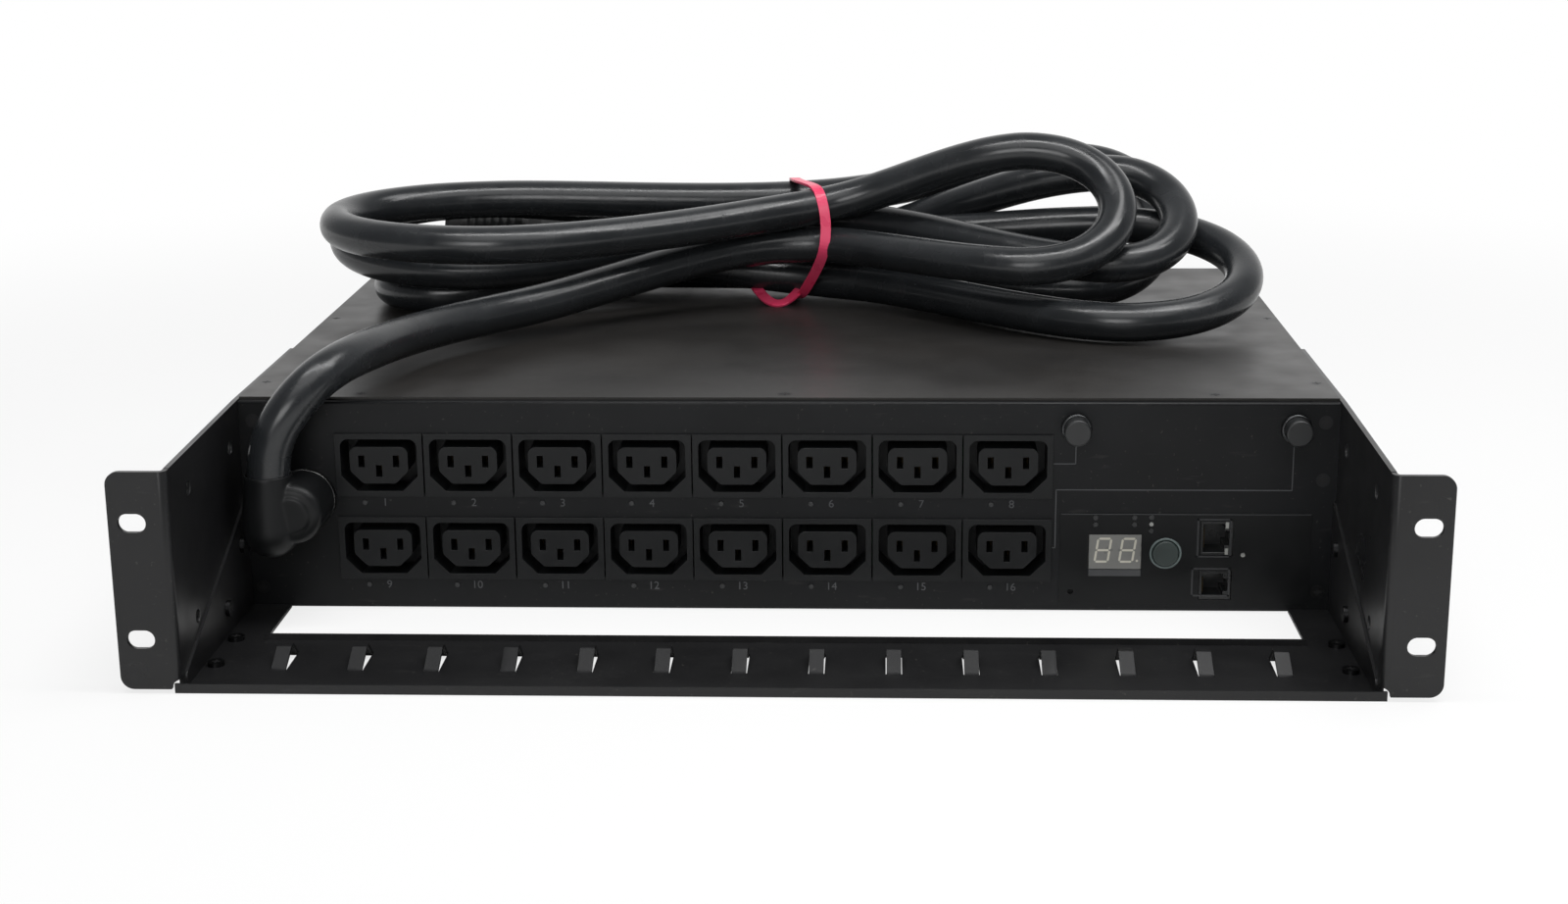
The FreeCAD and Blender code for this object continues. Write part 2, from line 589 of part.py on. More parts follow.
def socket_outline(x, z, width, height, chamfer, radius, flow):
    """The D shape of an outlet: rounded at the top, chamfered at the bottom where the earth pin is."""
    left, right, low, high = x - width / 2, x + width / 2, z - height / 2, z + height / 2
    return [(left + chamfer, low, flow), (right - chamfer, low, flow), (right, low + chamfer, flow),
            (right, high, radius), (left, high, radius), (left, low + chamfer, flow)]


def pin_places(x, z):
    """Middles of the live, neutral and earth pins of an outlet."""
    upper = z + PIN_RISE
    return (x - PIN_SPACING / 2, upper), (x + PIN_SPACING / 2, upper), (x, upper - EARTH_DROP)


def outlet(x, z):
    """Moulded housing: a rim on the panel, a body behind it and a groove round the core for the plug."""
    face = Y_PANEL - OUTLET_FACE
    half_width = OUTLET_PITCH / 2 - OUTLET_SEAM
    half_height = OUTLET_HEIGHT / 2
    rim = block(x - half_width, x + half_width, face, Y_PANEL, z - half_height, z + half_height)
    inset = OUTLET_LAP + FIT
    body = block(x - OUTLET_PITCH / 2 + inset, x + OUTLET_PITCH / 2 - inset, Y_PANEL, Y_PANEL + OUTLET_DEPTH,
                 z - half_height + inset, z + half_height - inset)
    core = prism_y(socket_outline(x, z, CORE_WIDTH, CORE_HEIGHT, CORE_CHAMFER, CORE_ROUND, CORE_FLOW),
                   face, face + GROOVE_DEPTH)
    groove_width = CORE_WIDTH + 2 * GROOVE_SIDE
    groove_height = CORE_HEIGHT + 2 * GROOVE_RISE
    groove = prism_y(socket_outline(x, z, groove_width, groove_height, GROOVE_CHAMFER, GROOVE_ROUND, GROOVE_FLOW),
                     face, face + GROOVE_DEPTH)
    cuts = [groove.cut(core)]
    for pin_x, pin_z in pin_places(x, z):
        cuts.append(block(pin_x - PIN_SLOT_WIDTH / 2, pin_x + PIN_SLOT_WIDTH / 2, face, face + CONTACT_DEPTH,
                          pin_z - PIN_SLOT_HEIGHT / 2, pin_z + PIN_SLOT_HEIGHT / 2))
        cuts.append(block(pin_x - TAB_WIDTH / 2 - FIT, pin_x + TAB_WIDTH / 2 + FIT, face, Y_PANEL + OUTLET_DEPTH,
                          pin_z - TAB_HEIGHT / 2 - FIT, pin_z + TAB_HEIGHT / 2 + FIT))
    return cut_all(union([rim, body]), cuts)


def contact(pin_x, pin_z):
    """Brass clip: two leaves, the web that joins them and a tab back to the relay board."""
    mouth = Y_PANEL - OUTLET_FACE + CONTACT_START
    base = Y_PANEL - OUTLET_FACE + CONTACT_DEPTH
    low, high = pin_z - PIN_SLOT_HEIGHT / 2, pin_z + PIN_SLOT_HEIGHT / 2
    wall = PIN_SLOT_WIDTH / 2
    leaves = [block(pin_x - wall, pin_x - wall + CONTACT_LEAF, mouth, base, low, high),
              block(pin_x + wall - CONTACT_LEAF, pin_x + wall, mouth, base, low, high)]
    web = block(pin_x - wall, pin_x + wall, base - CONTACT_LEAF, base, low, high)
    tab = block(pin_x - TAB_WIDTH / 2, pin_x + TAB_WIDTH / 2, base - CONTACT_LEAF, Y_PANEL + RELAY_BOARD_BACK,
                pin_z - TAB_HEIGHT / 2, pin_z + TAB_HEIGHT / 2)
    return union(leaves + [web, tab])


def relay_board(z):
    """Circuit board that stands behind one row and carries the row's contacts."""
    front = Y_PANEL + RELAY_BOARD_BACK
    return block(STRIP_LEFT, STRIP_RIGHT, front, front + BOARD, z - RELAY_BOARD_DOWN, z + RELAY_BOARD_UP)


def relay(x, z):
    """Sealed relay on the back of its board."""
    front = Y_PANEL + RELAY_BOARD_BACK + BOARD
    case = block(x - RELAY_WIDTH / 2, x + RELAY_WIDTH / 2, front, front + RELAY_DEPTH,
                 z - RELAY_HEIGHT / 2, z + RELAY_HEIGHT / 2)
    corners = [edge for edge in case.Edges if edge.BoundBox.YMin > front + RELAY_DEPTH - 1e-6]
    return case.makeChamfer(RELAY_CHAMFER, corners)


def breaker_body(x):
    """Breaker: a case behind the panel and a bored neck through it."""
    case = block(x - BREAKER_WIDTH / 2, x + BREAKER_WIDTH / 2, Y_BEHIND, Y_BEHIND + BREAKER_DEPTH,
                 BREAKER_Z - BREAKER_DOWN, BREAKER_Z + BREAKER_UP)
    neck = rod_y(BREAKER_NECK_R, x, BREAKER_Z, Y_PANEL - BREAKER_NUT, Y_BEHIND)
    bore = rod_y(BREAKER_STEM_R + RUN, x, BREAKER_Z, Y_PANEL - BREAKER_NUT, Y_PANEL + BREAKER_STEM)
    return union([case, neck]).cut(bore)


def breaker_nut(x):
    """Ring nut that clamps the breaker's neck to the panel."""
    ring = rod_y(BREAKER_NUT_R, x, BREAKER_Z, Y_PANEL - BREAKER_NUT, Y_PANEL)
    neck = rod_y(BREAKER_NECK_R, x, BREAKER_Z, Y_PANEL - BREAKER_NUT, Y_PANEL)
    rim = [edge for edge in ring.Edges if edge.BoundBox.YMax < Y_PANEL - BREAKER_NUT + 1e-6]
    return ring.makeChamfer(BREAKER_NUT_CHAMFER, rim).cut(neck)


def breaker_button(x):
    """Push-to-reset button: a cap in front of the nut and a stem in the bore of the neck."""
    back = Y_PANEL - BREAKER_NUT - BREAKER_REST_GAP
    cap = rod_y(BREAKER_CAP_R, x, BREAKER_Z, back - BREAKER_CAP, back)
    rim = [edge for edge in cap.Edges if edge.BoundBox.YMax < back - BREAKER_CAP + 1e-6]
    stem = rod_y(BREAKER_STEM_R, x, BREAKER_Z, back, Y_PANEL + BREAKER_STEM - RUN)
    return union([cap.makeFillet(BREAKER_CAP_ROUND, rim), stem])


def control_overlay():
    """Thin film over the control area, open where the controls come through."""
    film = block(STRIP_RIGHT + OVERLAY_LEFT, HALF - OVERLAY_INSET, Y_PANEL - OVERLAY, Y_PANEL,
                 OVERLAY_LOW, OVERLAY_HIGH)
    return cut_all(film, control_cut_outs(Y_PANEL - SHEET, Y_BEHIND))


def display_module():
    """Two-digit display, from the face of the panel back to the control board."""
    x = STRIP_RIGHT + DISPLAY_SHIFT
    return block(x - DISPLAY_WIDTH / 2, x + DISPLAY_WIDTH / 2,
                 Y_PANEL - DISPLAY_PROUD, Y_PANEL + CONTROL_BOARD_BACK,
                 DISPLAY_Z - DISPLAY_HEIGHT / 2, DISPLAY_Z + DISPLAY_HEIGHT / 2)


def select_button():
    """Round button: a cap through the panel, a collar behind it and a stem towards its switch."""
    x = STRIP_RIGHT + SELECT_SHIFT
    cap = rod_y(SELECT_R, x, SELECT_Z, Y_PANEL - SELECT_PROUD, Y_BEHIND + RUN)
    rim = [edge for edge in cap.Edges if edge.BoundBox.YMax < Y_PANEL - SELECT_PROUD + 1e-6]
    collar = rod_y(SELECT_R + 2 * RUN, x, SELECT_Z, Y_BEHIND + RUN, Y_PANEL + SELECT_BACK - RUN)
    stem = rod_y(RESET_R, x, SELECT_Z, Y_PANEL + SELECT_BACK - RUN,
                 Y_PANEL + CONTROL_BOARD_BACK - SWITCH_DEPTH - SELECT_TRAVEL - RUN)
    return union([cap.makeFillet(SELECT_ROUND, rim), collar, stem])


def select_ring():
    """Raised ring round the select button, on the overlay."""
    x = STRIP_RIGHT + SELECT_SHIFT
    front = Y_PANEL - OVERLAY - SELECT_RING_HEIGHT
    inner = SELECT_R + RUN
    ring = rod_y(inner + SELECT_RING, x, SELECT_Z, front, Y_PANEL - OVERLAY)
    return ring.cut(rod_y(inner, x, SELECT_Z, front, Y_PANEL - OVERLAY))


def push_switch(x, z):
    """Small push switch on the control board."""
    back = Y_PANEL + CONTROL_BOARD_BACK
    return block(x - SWITCH_SIZE / 2, x + SWITCH_SIZE / 2, back - SWITCH_DEPTH, back,
                 z - SWITCH_SIZE / 2, z + SWITCH_SIZE / 2)


def push_switches():
    """The switches behind the select and the reset buttons."""
    reset_x = STRIP_RIGHT + RESET_SHIFT
    back = Y_PANEL + CONTROL_BOARD_BACK
    bore = rod_y(RESET_R + RUN, reset_x, RESET_Z, back - SWITCH_DEPTH, back - RUN)
    return group([push_switch(STRIP_RIGHT + SELECT_SHIFT, SELECT_Z), push_switch(reset_x, RESET_Z).cut(bore)])


def reset_button():
    """Plunger of the reset switch, behind its pinhole."""
    back = Y_PANEL + CONTROL_BOARD_BACK
    return rod_y(RESET_R, STRIP_RIGHT + RESET_SHIFT, RESET_Z, Y_BEHIND + RESET_BEHIND,
                 back - RESET_TRAVEL - 2 * RUN)


def jack(z, width, height, notch_width):
    """Modular jack on its side: a cavity for the plug with a notch for its latch on the right."""
    x0, x1, z0, z1 = jack_outline(z, width, height)
    left = x0 + JACK_WALL
    back = Y_PANEL + CONTROL_BOARD_BACK
    body = block(x0, x1, Y_PANEL, back, z0, z1)
    cavity = block(left, left + height, Y_PANEL, Y_PANEL + JACK_DEPTH, z - width / 2, z + width / 2)
    notch = block(left + height, left + height + JACK_NOTCH, Y_PANEL, Y_PANEL + JACK_DEPTH,
                  z - notch_width / 2, z + notch_width / 2)
    return cut_all(body, [cavity, notch])


def jack_wires(z, width, height, count):
    """Spring wires along the jack's left wall, opposite the latch."""
    left = jack_outline(z, width, height)[0] + JACK_WALL
    middles = [z + WIRE_PITCH * (index - (count - 1) / 2) for index in range(count)]
    return [block(left, left + WIRE, Y_PANEL + 2 * WIRE, Y_PANEL + JACK_DEPTH,
                  middle - WIRE / 2, middle + WIRE / 2) for middle in middles]


def light_pipes(places, front, back):
    """Clear light pipes from the front to a board."""
    return group([rod_y(LIGHT_R, x, z, front, back) for x, z in places])


def control_board():
    """Circuit board behind the control area."""
    front = Y_PANEL + CONTROL_BOARD_BACK
    return block(STRIP_RIGHT + CONTROL_BOARD_LEFT, HALF - CONTROL_BOARD_INSET, front, front + BOARD,
                 CONTROL_BOARD_LOW, CONTROL_BOARD_HIGH)


def supply_corner():
    """Near left corner of the supply board."""
    return SUPPLY_X - SUPPLY_WIDTH / 2, Y_PANEL + SUPPLY_BACK


def posts():
    """Posts between the panel and the control board, and between the floor and the supply board."""
    left = STRIP_RIGHT + CONTROL_BOARD_LEFT + POST_EDGE
    right = HALF - CONTROL_BOARD_INSET - POST_EDGE
    low, high = CONTROL_BOARD_LOW + POST_EDGE, CONTROL_BOARD_HIGH - POST_EDGE
    front = [(left, high), (right, high), (right, low), (left + POST_LOW_SHIFT, low)]
    pieces = [rod_y(POST_R, x, z, Y_BEHIND, Y_PANEL + CONTROL_BOARD_BACK) for x, z in front]
    x0, y0 = supply_corner()
    for x in (x0 + POST_EDGE, x0 + SUPPLY_WIDTH - POST_EDGE):
        for y in (y0 + POST_EDGE, y0 + SUPPLY_LENGTH - POST_EDGE):
            pieces.append(rod(POST_R, V(x, y, SHEET), V(x, y, SHEET + SUPPLY_LIFT)))
    return group(pieces)


def supply_board():
    """Board of the internal supply, on its posts."""
    x0, y0 = supply_corner()
    low = SHEET + SUPPLY_LIFT
    return block(x0, x0 + SUPPLY_WIDTH, y0, y0 + SUPPLY_LENGTH, low, low + BOARD)


def supply_transformer():
    """Laminated core with its bobbin."""
    x0, y0 = supply_corner()
    low = SHEET + SUPPLY_LIFT + BOARD
    x = x0 + CORE_SPAN / 2 + 2 * POST_EDGE
    y = y0 + SUPPLY_LENGTH / 2
    core = block(x - CORE_SPAN / 2, x + CORE_SPAN / 2, y - CORE_STACK / 2, y + CORE_STACK / 2,
                 low, low + CORE_TALL)
    coil = block(x - CORE_SPAN / 3, x + CORE_SPAN / 3, y - CORE_STACK / 2 - BOBBIN_OVERHANG,
                 y + CORE_STACK / 2 + BOBBIN_OVERHANG, low + BOBBIN_OVERHANG, low + CORE_TALL - BOBBIN_OVERHANG)
    return union([core, coil])


def current_sensors():
    """Two ring cores that stand on the supply board."""
    x0, y0 = supply_corner()
    low = SHEET + SUPPLY_LIFT + BOARD
    x = x0 + SUPPLY_WIDTH - SENSOR_R - 2 * POST_EDGE
    pieces = []
    for y in (y0 + SUPPLY_LENGTH / 3, y0 + 2 * SUPPLY_LENGTH / 3):
        ring = rod_y(SENSOR_R, x, low + SENSOR_R, y - SENSOR_THICK / 2, y + SENSOR_THICK / 2)
        bore = rod_y(SENSOR_BORE_R, x, low + SENSOR_R, y - SENSOR_THICK / 2, y + SENSOR_THICK / 2)
        foot = block(x - SENSOR_R, x + SENSOR_R, y - SENSOR_THICK / 2, y + SENSOR_THICK / 2,
                     low, low + SENSOR_BORE_R)
        pieces.append(union([ring, foot]).cut(bore))
    return group(pieces)


def terminal_block():
    """Barrier strip on the floor: a step between fins for each supply wire."""
    left = TERMINAL_X - TERMINAL_WIDTH / 2
    front = Y_PANEL + TERMINAL_BACK
    body = block(left, left + TERMINAL_WIDTH, front, front + TERMINAL_LENGTH, SHEET, SHEET + TERMINAL_HEIGHT)
    pitch = (TERMINAL_WIDTH - TERMINAL_FIN) / TERMINAL_WAYS
    bays = [block(left + TERMINAL_FIN + pitch * way, left + pitch * (way + 1), front, front + TERMINAL_LENGTH,
                  SHEET + TERMINAL_HEIGHT / 2, SHEET + TERMINAL_HEIGHT) for way in range(TERMINAL_WAYS)]
    return cut_all(body, bays)


def earth_stud():
    """Stud through the floor with its nut."""
    foot = V(STUD_X, Y_PANEL + STUD_BACK, 0)
    nut = rod(STUD_NUT_R, foot + Z_AXIS * SHEET, foot + Z_AXIS * (SHEET + STUD_NUT))
    return rod(STUD_R, foot, foot + Z_AXIS * STUD_HEIGHT).fuse(nut).removeSplitter()


def sleeve_axis(z):
    """A point on the axis of the elbow's sleeve."""
    return V(ELBOW_X - SLEEVE_SHIFT, Y_PANEL - SLEEVE_OUT, z)


def cord_elbow():
    """Moulded right-angle strain relief: a barrel through the panel and a sleeve that turns the cord upwards."""
    front = Y_PANEL - ELBOW_OUT
    barrel = rod_y(ELBOW_R, ELBOW_X, ELBOW_Z, front, Y_PANEL - ELBOW_NUT)
    rim = [edge for edge in barrel.Edges if edge.BoundBox.YMax < front + 1e-6]
    barrel = barrel.makeFillet(ELBOW_ROUND, rim)
    disc = rod_y(ELBOW_DISC_R, ELBOW_X, ELBOW_Z, front - ELBOW_DISC, front + ELBOW_ROUND)
    neck = rod_y(ELBOW_NECK_R, ELBOW_X, ELBOW_Z, Y_PANEL - ELBOW_NUT, Y_PANEL + ELBOW_NECK)
    base = sleeve_axis(ELBOW_Z - SLEEVE_DROP)
    height = SLEEVE_TOP + SLEEVE_DROP
    sleeve = Part.makeCone(SLEEVE_BASE_R, SLEEVE_TIP_R, height, base, Z_AXIS)
    heel = Part.makeSphere(SLEEVE_BASE_R, base)
    tip = ELBOW_Z + SLEEVE_TOP
    room = rod(CORD_R + POCKET_GAP, sleeve_axis(tip - SLEEVE_SOCKET), sleeve_axis(tip))
    return union([barrel, disc, neck, sleeve, heel]).cut(room)


def elbow_nuts():
    """Ring outside the panel and locknut behind it."""
    outside = rod_y(ELBOW_R, ELBOW_X, ELBOW_Z, Y_PANEL - ELBOW_NUT, Y_PANEL)
    inside = rod_y(ELBOW_LOCKNUT_R, ELBOW_X, ELBOW_Z, Y_BEHIND, Y_BEHIND + ELBOW_LOCKNUT)
    neck = rod_y(ELBOW_NECK_R, ELBOW_X, ELBOW_Z, Y_PANEL - ELBOW_NUT, Y_PANEL + ELBOW_NECK)
    return group([outside.cut(neck), inside.cut(neck)])


def cord_tube(points, radius):
    """A round cord along straight runs joined by tangent arcs, each as large as its two runs allow."""
    edges = []
    bends = []
    start = points[0]
    for before, here, after in zip(points, points[1:], points[2:]):
        back = V(before - here)
        ahead = V(after - here)
        reach = ARC_SHARE * min(back.Length, ahead.Length)
        back.normalize()
        ahead.normalize()
        half_turn = (math.pi - back.getAngle(ahead)) / 2
        bend = reach / math.tan(half_turn)
        inward = V(back + ahead).normalize()
        middle = here + inward * (bend / math.cos(half_turn) - bend)
        edges.append(Part.LineSegment(start, here + back * reach).toShape())
        edges.append(Part.Arc(here + back * reach, middle, here + ahead * reach).toShape())
        start = here + ahead * reach
        bends.append(round(bend, 1))
    edges.append(Part.LineSegment(start, points[-1]).toShape())
    path = Part.Wire(edges)
    section = Part.Wire(Part.makeCircle(radius, points[0], points[1] - points[0]))
    tube = path.makePipeShell([section], True, False)
    print("cord bends", bends, "length", round(path.Length, 1), "volume ratio",
          round(tube.Volume / (math.pi * radius ** 2 * path.Length), 4))
    return tube


# The lead: up out of the elbow, over the front edge of the cover and back to the tied bundle.
# The tail: out of the back of the bundle to the plug.
# Points are (x, depth behind the panel, height above the underside), chosen by eye.
LEAD_ROUTE = [(-203.1, -20.0, 53.5), (-203.1, -20.0, 67.0), (-199.2, -19.0, 79.3), (-192.2, -16.0, 89.8),
              (-184.5, -9.0, 97.5), (-177.8, 1.6, 101.5), (-171.5, 18.0, 102.6), (-165.0, 41.0, 102.0),
              (-155.0, 69.0, 100.9), (-137.0, 96.0, 100.8), (-112.0, 119.0, 102.4), (-84.0, 143.0, 107.0),
              (-54.0, 165.5, 112.4), (-22.0, 183.0, 116.6)]
TAIL_ROUTE = [(0.0, 241.0, 104.4), (-18.0, 241.6, 102.6), (-38.0, 245.8, 101.4), (-59.0, 256.0, 102.2),
              (-80.0, 266.6, 105.0), (-100.0, PLUG_BACK, BOX_HEIGHT + PLUG_R),
              (PLUG_X, PLUG_BACK, BOX_HEIGHT + PLUG_R)]

# The hank's outline, from its left end to its right end, as (x, near, far, low, high, corner radius):
# depths are from the panel, heights from the cover's top.
HANK_LEFT = ((-226.0, 178.0, 212.0, 12.0, 50.0, 8.0), (-200.0, 146.0, 238.0, 0.0, 53.0, 14.0),
             (-150.0, 134.0, 249.0, 0.0, 54.0, 16.0), (-60.0, 157.0, 250.0, 0.0, 56.0, 16.0),
             (-6.0, 176.0, 250.4, 1.6, 56.6, 14.0))
HANK_WAIST = (-6.0, 26.0, 176.0, 250.4, 1.6, 56.6, 14.0)
HANK_RIGHT = ((26.0, 176.0, 250.4, 1.6, 56.6, 14.0), (70.0, 154.0, 254.0, 0.0, 70.0, 16.0),
              (120.0, 104.0, 254.0, 0.0, 79.0, 20.0), (175.0, 104.0, 252.0, 0.0, 68.0, 20.0),
              (208.0, 140.0, 206.0, 6.0, 42.0, 12.0))


def hank_section(x, near, far, low, high, radius):
    """One outline across the hank."""
    corners = rectangle(Y_PANEL + near, Y_PANEL + far, BOX_HEIGHT + low, BOX_HEIGHT + high, radius)
    return rounded_wire(corners, lambda point: V(x, point.x, point.y))


def route(points):
    """Route points as places in the model."""
    return [V(x, Y_PANEL + depth, z) for x, depth, z in points]


def cord_hank():
    """Outer shape of the tied hank, with sockets for the lead and the tail."""
    left = Part.makeLoft([hank_section(*section) for section in HANK_LEFT], True, True)
    right = Part.makeLoft([hank_section(*section) for section in HANK_RIGHT], True, True)
    x0, x1, near, far, low, high, radius = HANK_WAIST
    waist = Part.Face(hank_section(x0, near, far, low, high, radius)).extrude(V(x1 - x0, 0, 0))
    sockets = [cord_tube(route(points), CORD_R + POCKET_GAP) for points in (LEAD_ROUTE, TAIL_ROUTE)]
    return cut_all(union([left, waist, right]), sockets)


def cable_tie():
    """Nylon strap round the waist of the hank, with its locking head."""
    _, _, near, far, low, high, radius = HANK_WAIST
    x0 = TIE_X - TIE_WIDTH / 2
    outer = hank_section(x0, near - TIE_THICK, far + TIE_THICK, low - TIE_THICK, high + TIE_THICK,
                         radius + TIE_THICK)
    inner = hank_section(x0, near, far, low, high, radius)
    band = Part.Face(outer).extrude(V(TIE_WIDTH, 0, 0)).cut(Part.Face(inner).extrude(V(TIE_WIDTH, 0, 0)))
    y = Y_PANEL + far
    z = BOX_HEIGHT + (low + high) / 2
    head = block(TIE_X - TIE_HEAD / 2, TIE_X + TIE_HEAD / 2, y, y + TIE_HEAD, z, z + TIE_HEAD_LENGTH)
    return union([band, head])


def plug_body():
    """Round moulded plug that lies behind the hank, its face to the left."""
    end = V(PLUG_X, Y_PANEL + PLUG_BACK, BOX_HEIGHT + PLUG_R)
    profile = [(0, 0), (0, PLUG_GRIP_R), (-PLUG_NECK, PLUG_NECK_R), (-PLUG_FLARE, PLUG_R),
               (-PLUG_LENGTH + PLUG_EDGE, PLUG_R), (-PLUG_LENGTH, PLUG_FACE_R), (-PLUG_LENGTH, 0)]
    outline = Part.makePolygon([end + V(x, 0, r) for x, r in profile + profile[:1]])
    return Part.Face(outline).revolve(end, X_AXIS, 360)


def plug_blades():
    """Three curved blades on a circle."""
    face = V(PLUG_X - PLUG_LENGTH, Y_PANEL + PLUG_BACK, BOX_HEIGHT + PLUG_R)
    ring = rod(BLADE_R + BLADE_THICK, face, face - X_AXIS * BLADE_LENGTH).cut(
        rod(BLADE_R, face, face - X_AXIS * BLADE_LENGTH))
    pieces = []
    for turn in (90, 210, 330):
        sector = Part.makeCylinder(BLADE_R + 2 * BLADE_THICK, BLADE_LENGTH, V(0, 0, 0), V(-1, 0, 0), BLADE_ANGLE)
        sector.rotate(V(0, 0, 0), X_AXIS, turn)
        sector.translate(face)
        pieces.append(ring.common(sector))
    return group(pieces)


os.makedirs("parts", exist_ok=True)

# The sheet metal
save("chassis_base", chassis_base())
save("front_panel", front_panel())
save("top_cover", top_cover())
save("bracket_left", bracket(-1))
save("bracket_right", bracket(1))
save("cord_tray", cord_tray())

# The outlets and what is behind them
outlet_number = 0
outlet_contacts = []
relays = []
for row_z in ROW_MIDDLES:
    for outlet_x in OUTLET_MIDDLES:
        outlet_number += 1
        save("outlet_%02d" % outlet_number, outlet(outlet_x, row_z))
        outlet_contacts += [contact(pin_x, pin_z) for pin_x, pin_z in pin_places(outlet_x, row_z)]
        relays.append(relay(outlet_x, row_z))
save("outlet_contacts", group(outlet_contacts))
save("relay_board_upper", relay_board(ROW_MIDDLES[0]))
save("relay_board_lower", relay_board(ROW_MIDDLES[1]))
save("relays", group(relays))
save("outlet_lights", light_pipes(outlet_light_places(), Y_PANEL - OVERLAY, Y_PANEL + RELAY_BOARD_BACK))

# The breakers
for number, breaker_x in enumerate(BREAKER_MIDDLES, 1):
    save("breaker_body_%d" % number, breaker_body(breaker_x))
    save("breaker_button_%d" % number, breaker_button(breaker_x))
save("breaker_nuts", group([breaker_nut(x) for x in BREAKER_MIDDLES]))

# The controls
save("control_overlay", control_overlay())
save("display_module", display_module())
save("select_button", select_button())
save("select_ring", select_ring())
save("reset_button", reset_button())
save("push_switches", push_switches())
save("network_jack", jack(NETWORK_Z, NETWORK_WIDTH, NETWORK_HEIGHT, NETWORK_NOTCH_WIDTH))
save("serial_jack", jack(SERIAL_Z, SERIAL_WIDTH, SERIAL_HEIGHT, SERIAL_NOTCH_WIDTH))
save("jack_wires", group(jack_wires(NETWORK_Z, NETWORK_WIDTH, NETWORK_HEIGHT, NETWORK_WIRES)
                         + jack_wires(SERIAL_Z, SERIAL_WIDTH, SERIAL_HEIGHT, SERIAL_WIRES)))
save("status_lights", light_pipes(status_light_places(), Y_PANEL - OVERLAY, Y_PANEL + CONTROL_BOARD_BACK))
save("control_board", control_board())
save("board_posts", posts())

# On the floor of the box
save("supply_board", supply_board())
save("supply_transformer", supply_transformer())
save("current_sensors", current_sensors())
save("terminal_block", terminal_block())
save("earth_stud", earth_stud())

# The cord
save("cord_elbow", cord_elbow())
save("elbow_nuts", elbow_nuts())
save("cord_lead", cord_tube(route(LEAD_ROUTE), CORD_R))
save("cord_hank", cord_hank())
save("cord_tail", cord_tube(route(TAIL_ROUTE), CORD_R))
save("cable_tie", cable_tie())
save("plug_body", plug_body())
save("plug_blades", plug_blades())

# The screws
save("cover_screws", group([flat_screw(seat, way, SHEET * 2 + SCREW_REACH) for seat, way in COVER_SCREWS]))
save("panel_screws", group([flat_screw(seat, way, SHEET * 2 + SCREW_REACH) for seat, way in PANEL_SCREWS]))
save("bracket_screws", group([screw(seat, way, SHEETS) for seat, way in BOX_SIDE_SCREWS]
                             + [screw(seat, way, TRAY_SHEET + BRACKET_SHEET) for seat, way in TRAY_SCREWS]
                             + [screw(seat, way, TRAY_SHEET) for seat, way in FLOOR_SCREWS]))
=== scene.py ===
"""Dresses the rack power distribution unit: its view, its studio, its finishes, its print and its cord.

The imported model's own frame, in metres: the outlets face -Y, +X is to their right, Z is 0 at the underside.
Sizes are millimetres, apart from those written as so many MM, the view and the studio.
"""
import bmesh
import bpy
import math
import numpy as np
from mathutils import Matrix, Vector


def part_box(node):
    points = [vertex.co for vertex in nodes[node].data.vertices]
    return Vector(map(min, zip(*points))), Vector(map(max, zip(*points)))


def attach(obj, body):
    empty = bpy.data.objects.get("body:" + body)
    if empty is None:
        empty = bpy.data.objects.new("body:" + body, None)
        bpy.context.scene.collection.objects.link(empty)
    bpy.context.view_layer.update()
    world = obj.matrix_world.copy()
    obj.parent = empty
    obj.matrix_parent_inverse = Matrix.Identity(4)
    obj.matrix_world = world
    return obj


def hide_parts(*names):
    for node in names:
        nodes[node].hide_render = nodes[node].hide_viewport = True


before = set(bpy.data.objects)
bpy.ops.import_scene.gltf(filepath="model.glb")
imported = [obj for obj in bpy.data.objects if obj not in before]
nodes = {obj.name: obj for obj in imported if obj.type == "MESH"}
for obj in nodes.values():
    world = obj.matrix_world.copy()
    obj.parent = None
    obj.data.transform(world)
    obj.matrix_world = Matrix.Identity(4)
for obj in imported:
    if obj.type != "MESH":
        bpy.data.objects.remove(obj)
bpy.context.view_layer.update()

# The view
# A long lens a metre in front of the panel and a little above it, turned slightly to the left.
# The eye is in metres; yaw, pitch and roll turn it from the panel's own direction.
IMAGE_WIDTH = 1600
FOCAL_PIXELS = 2419.0
SENSOR_MM = 36.0
EYE = (0.0387, -1.0047, 0.3091)
YAW = math.radians(-2.44)
PITCH = math.radians(14.91)
ROLL = math.radians(0.48)
forward = np.array([math.sin(YAW) * math.cos(PITCH), math.cos(YAW) * math.cos(PITCH), -math.sin(PITCH)])
level = np.array([math.cos(YAW), -math.sin(YAW), 0.0])
below = np.cross(forward, level)
right = math.cos(ROLL) * level + math.sin(ROLL) * below
down = math.cos(ROLL) * below - math.sin(ROLL) * level
lens = bpy.data.cameras.new("view")
lens.sensor_width = SENSOR_MM
lens.lens = SENSOR_MM * FOCAL_PIXELS / IMAGE_WIDTH
camera = bpy.data.objects.new("view", lens)
camera.matrix_world = Matrix.Translation(EYE) @ Matrix(np.stack([right, -down, -forward], axis=1)).to_4x4()
bpy.context.scene.collection.objects.link(camera)
bpy.context.scene.camera = camera
bpy.context.scene.view_settings.view_transform = "Standard"

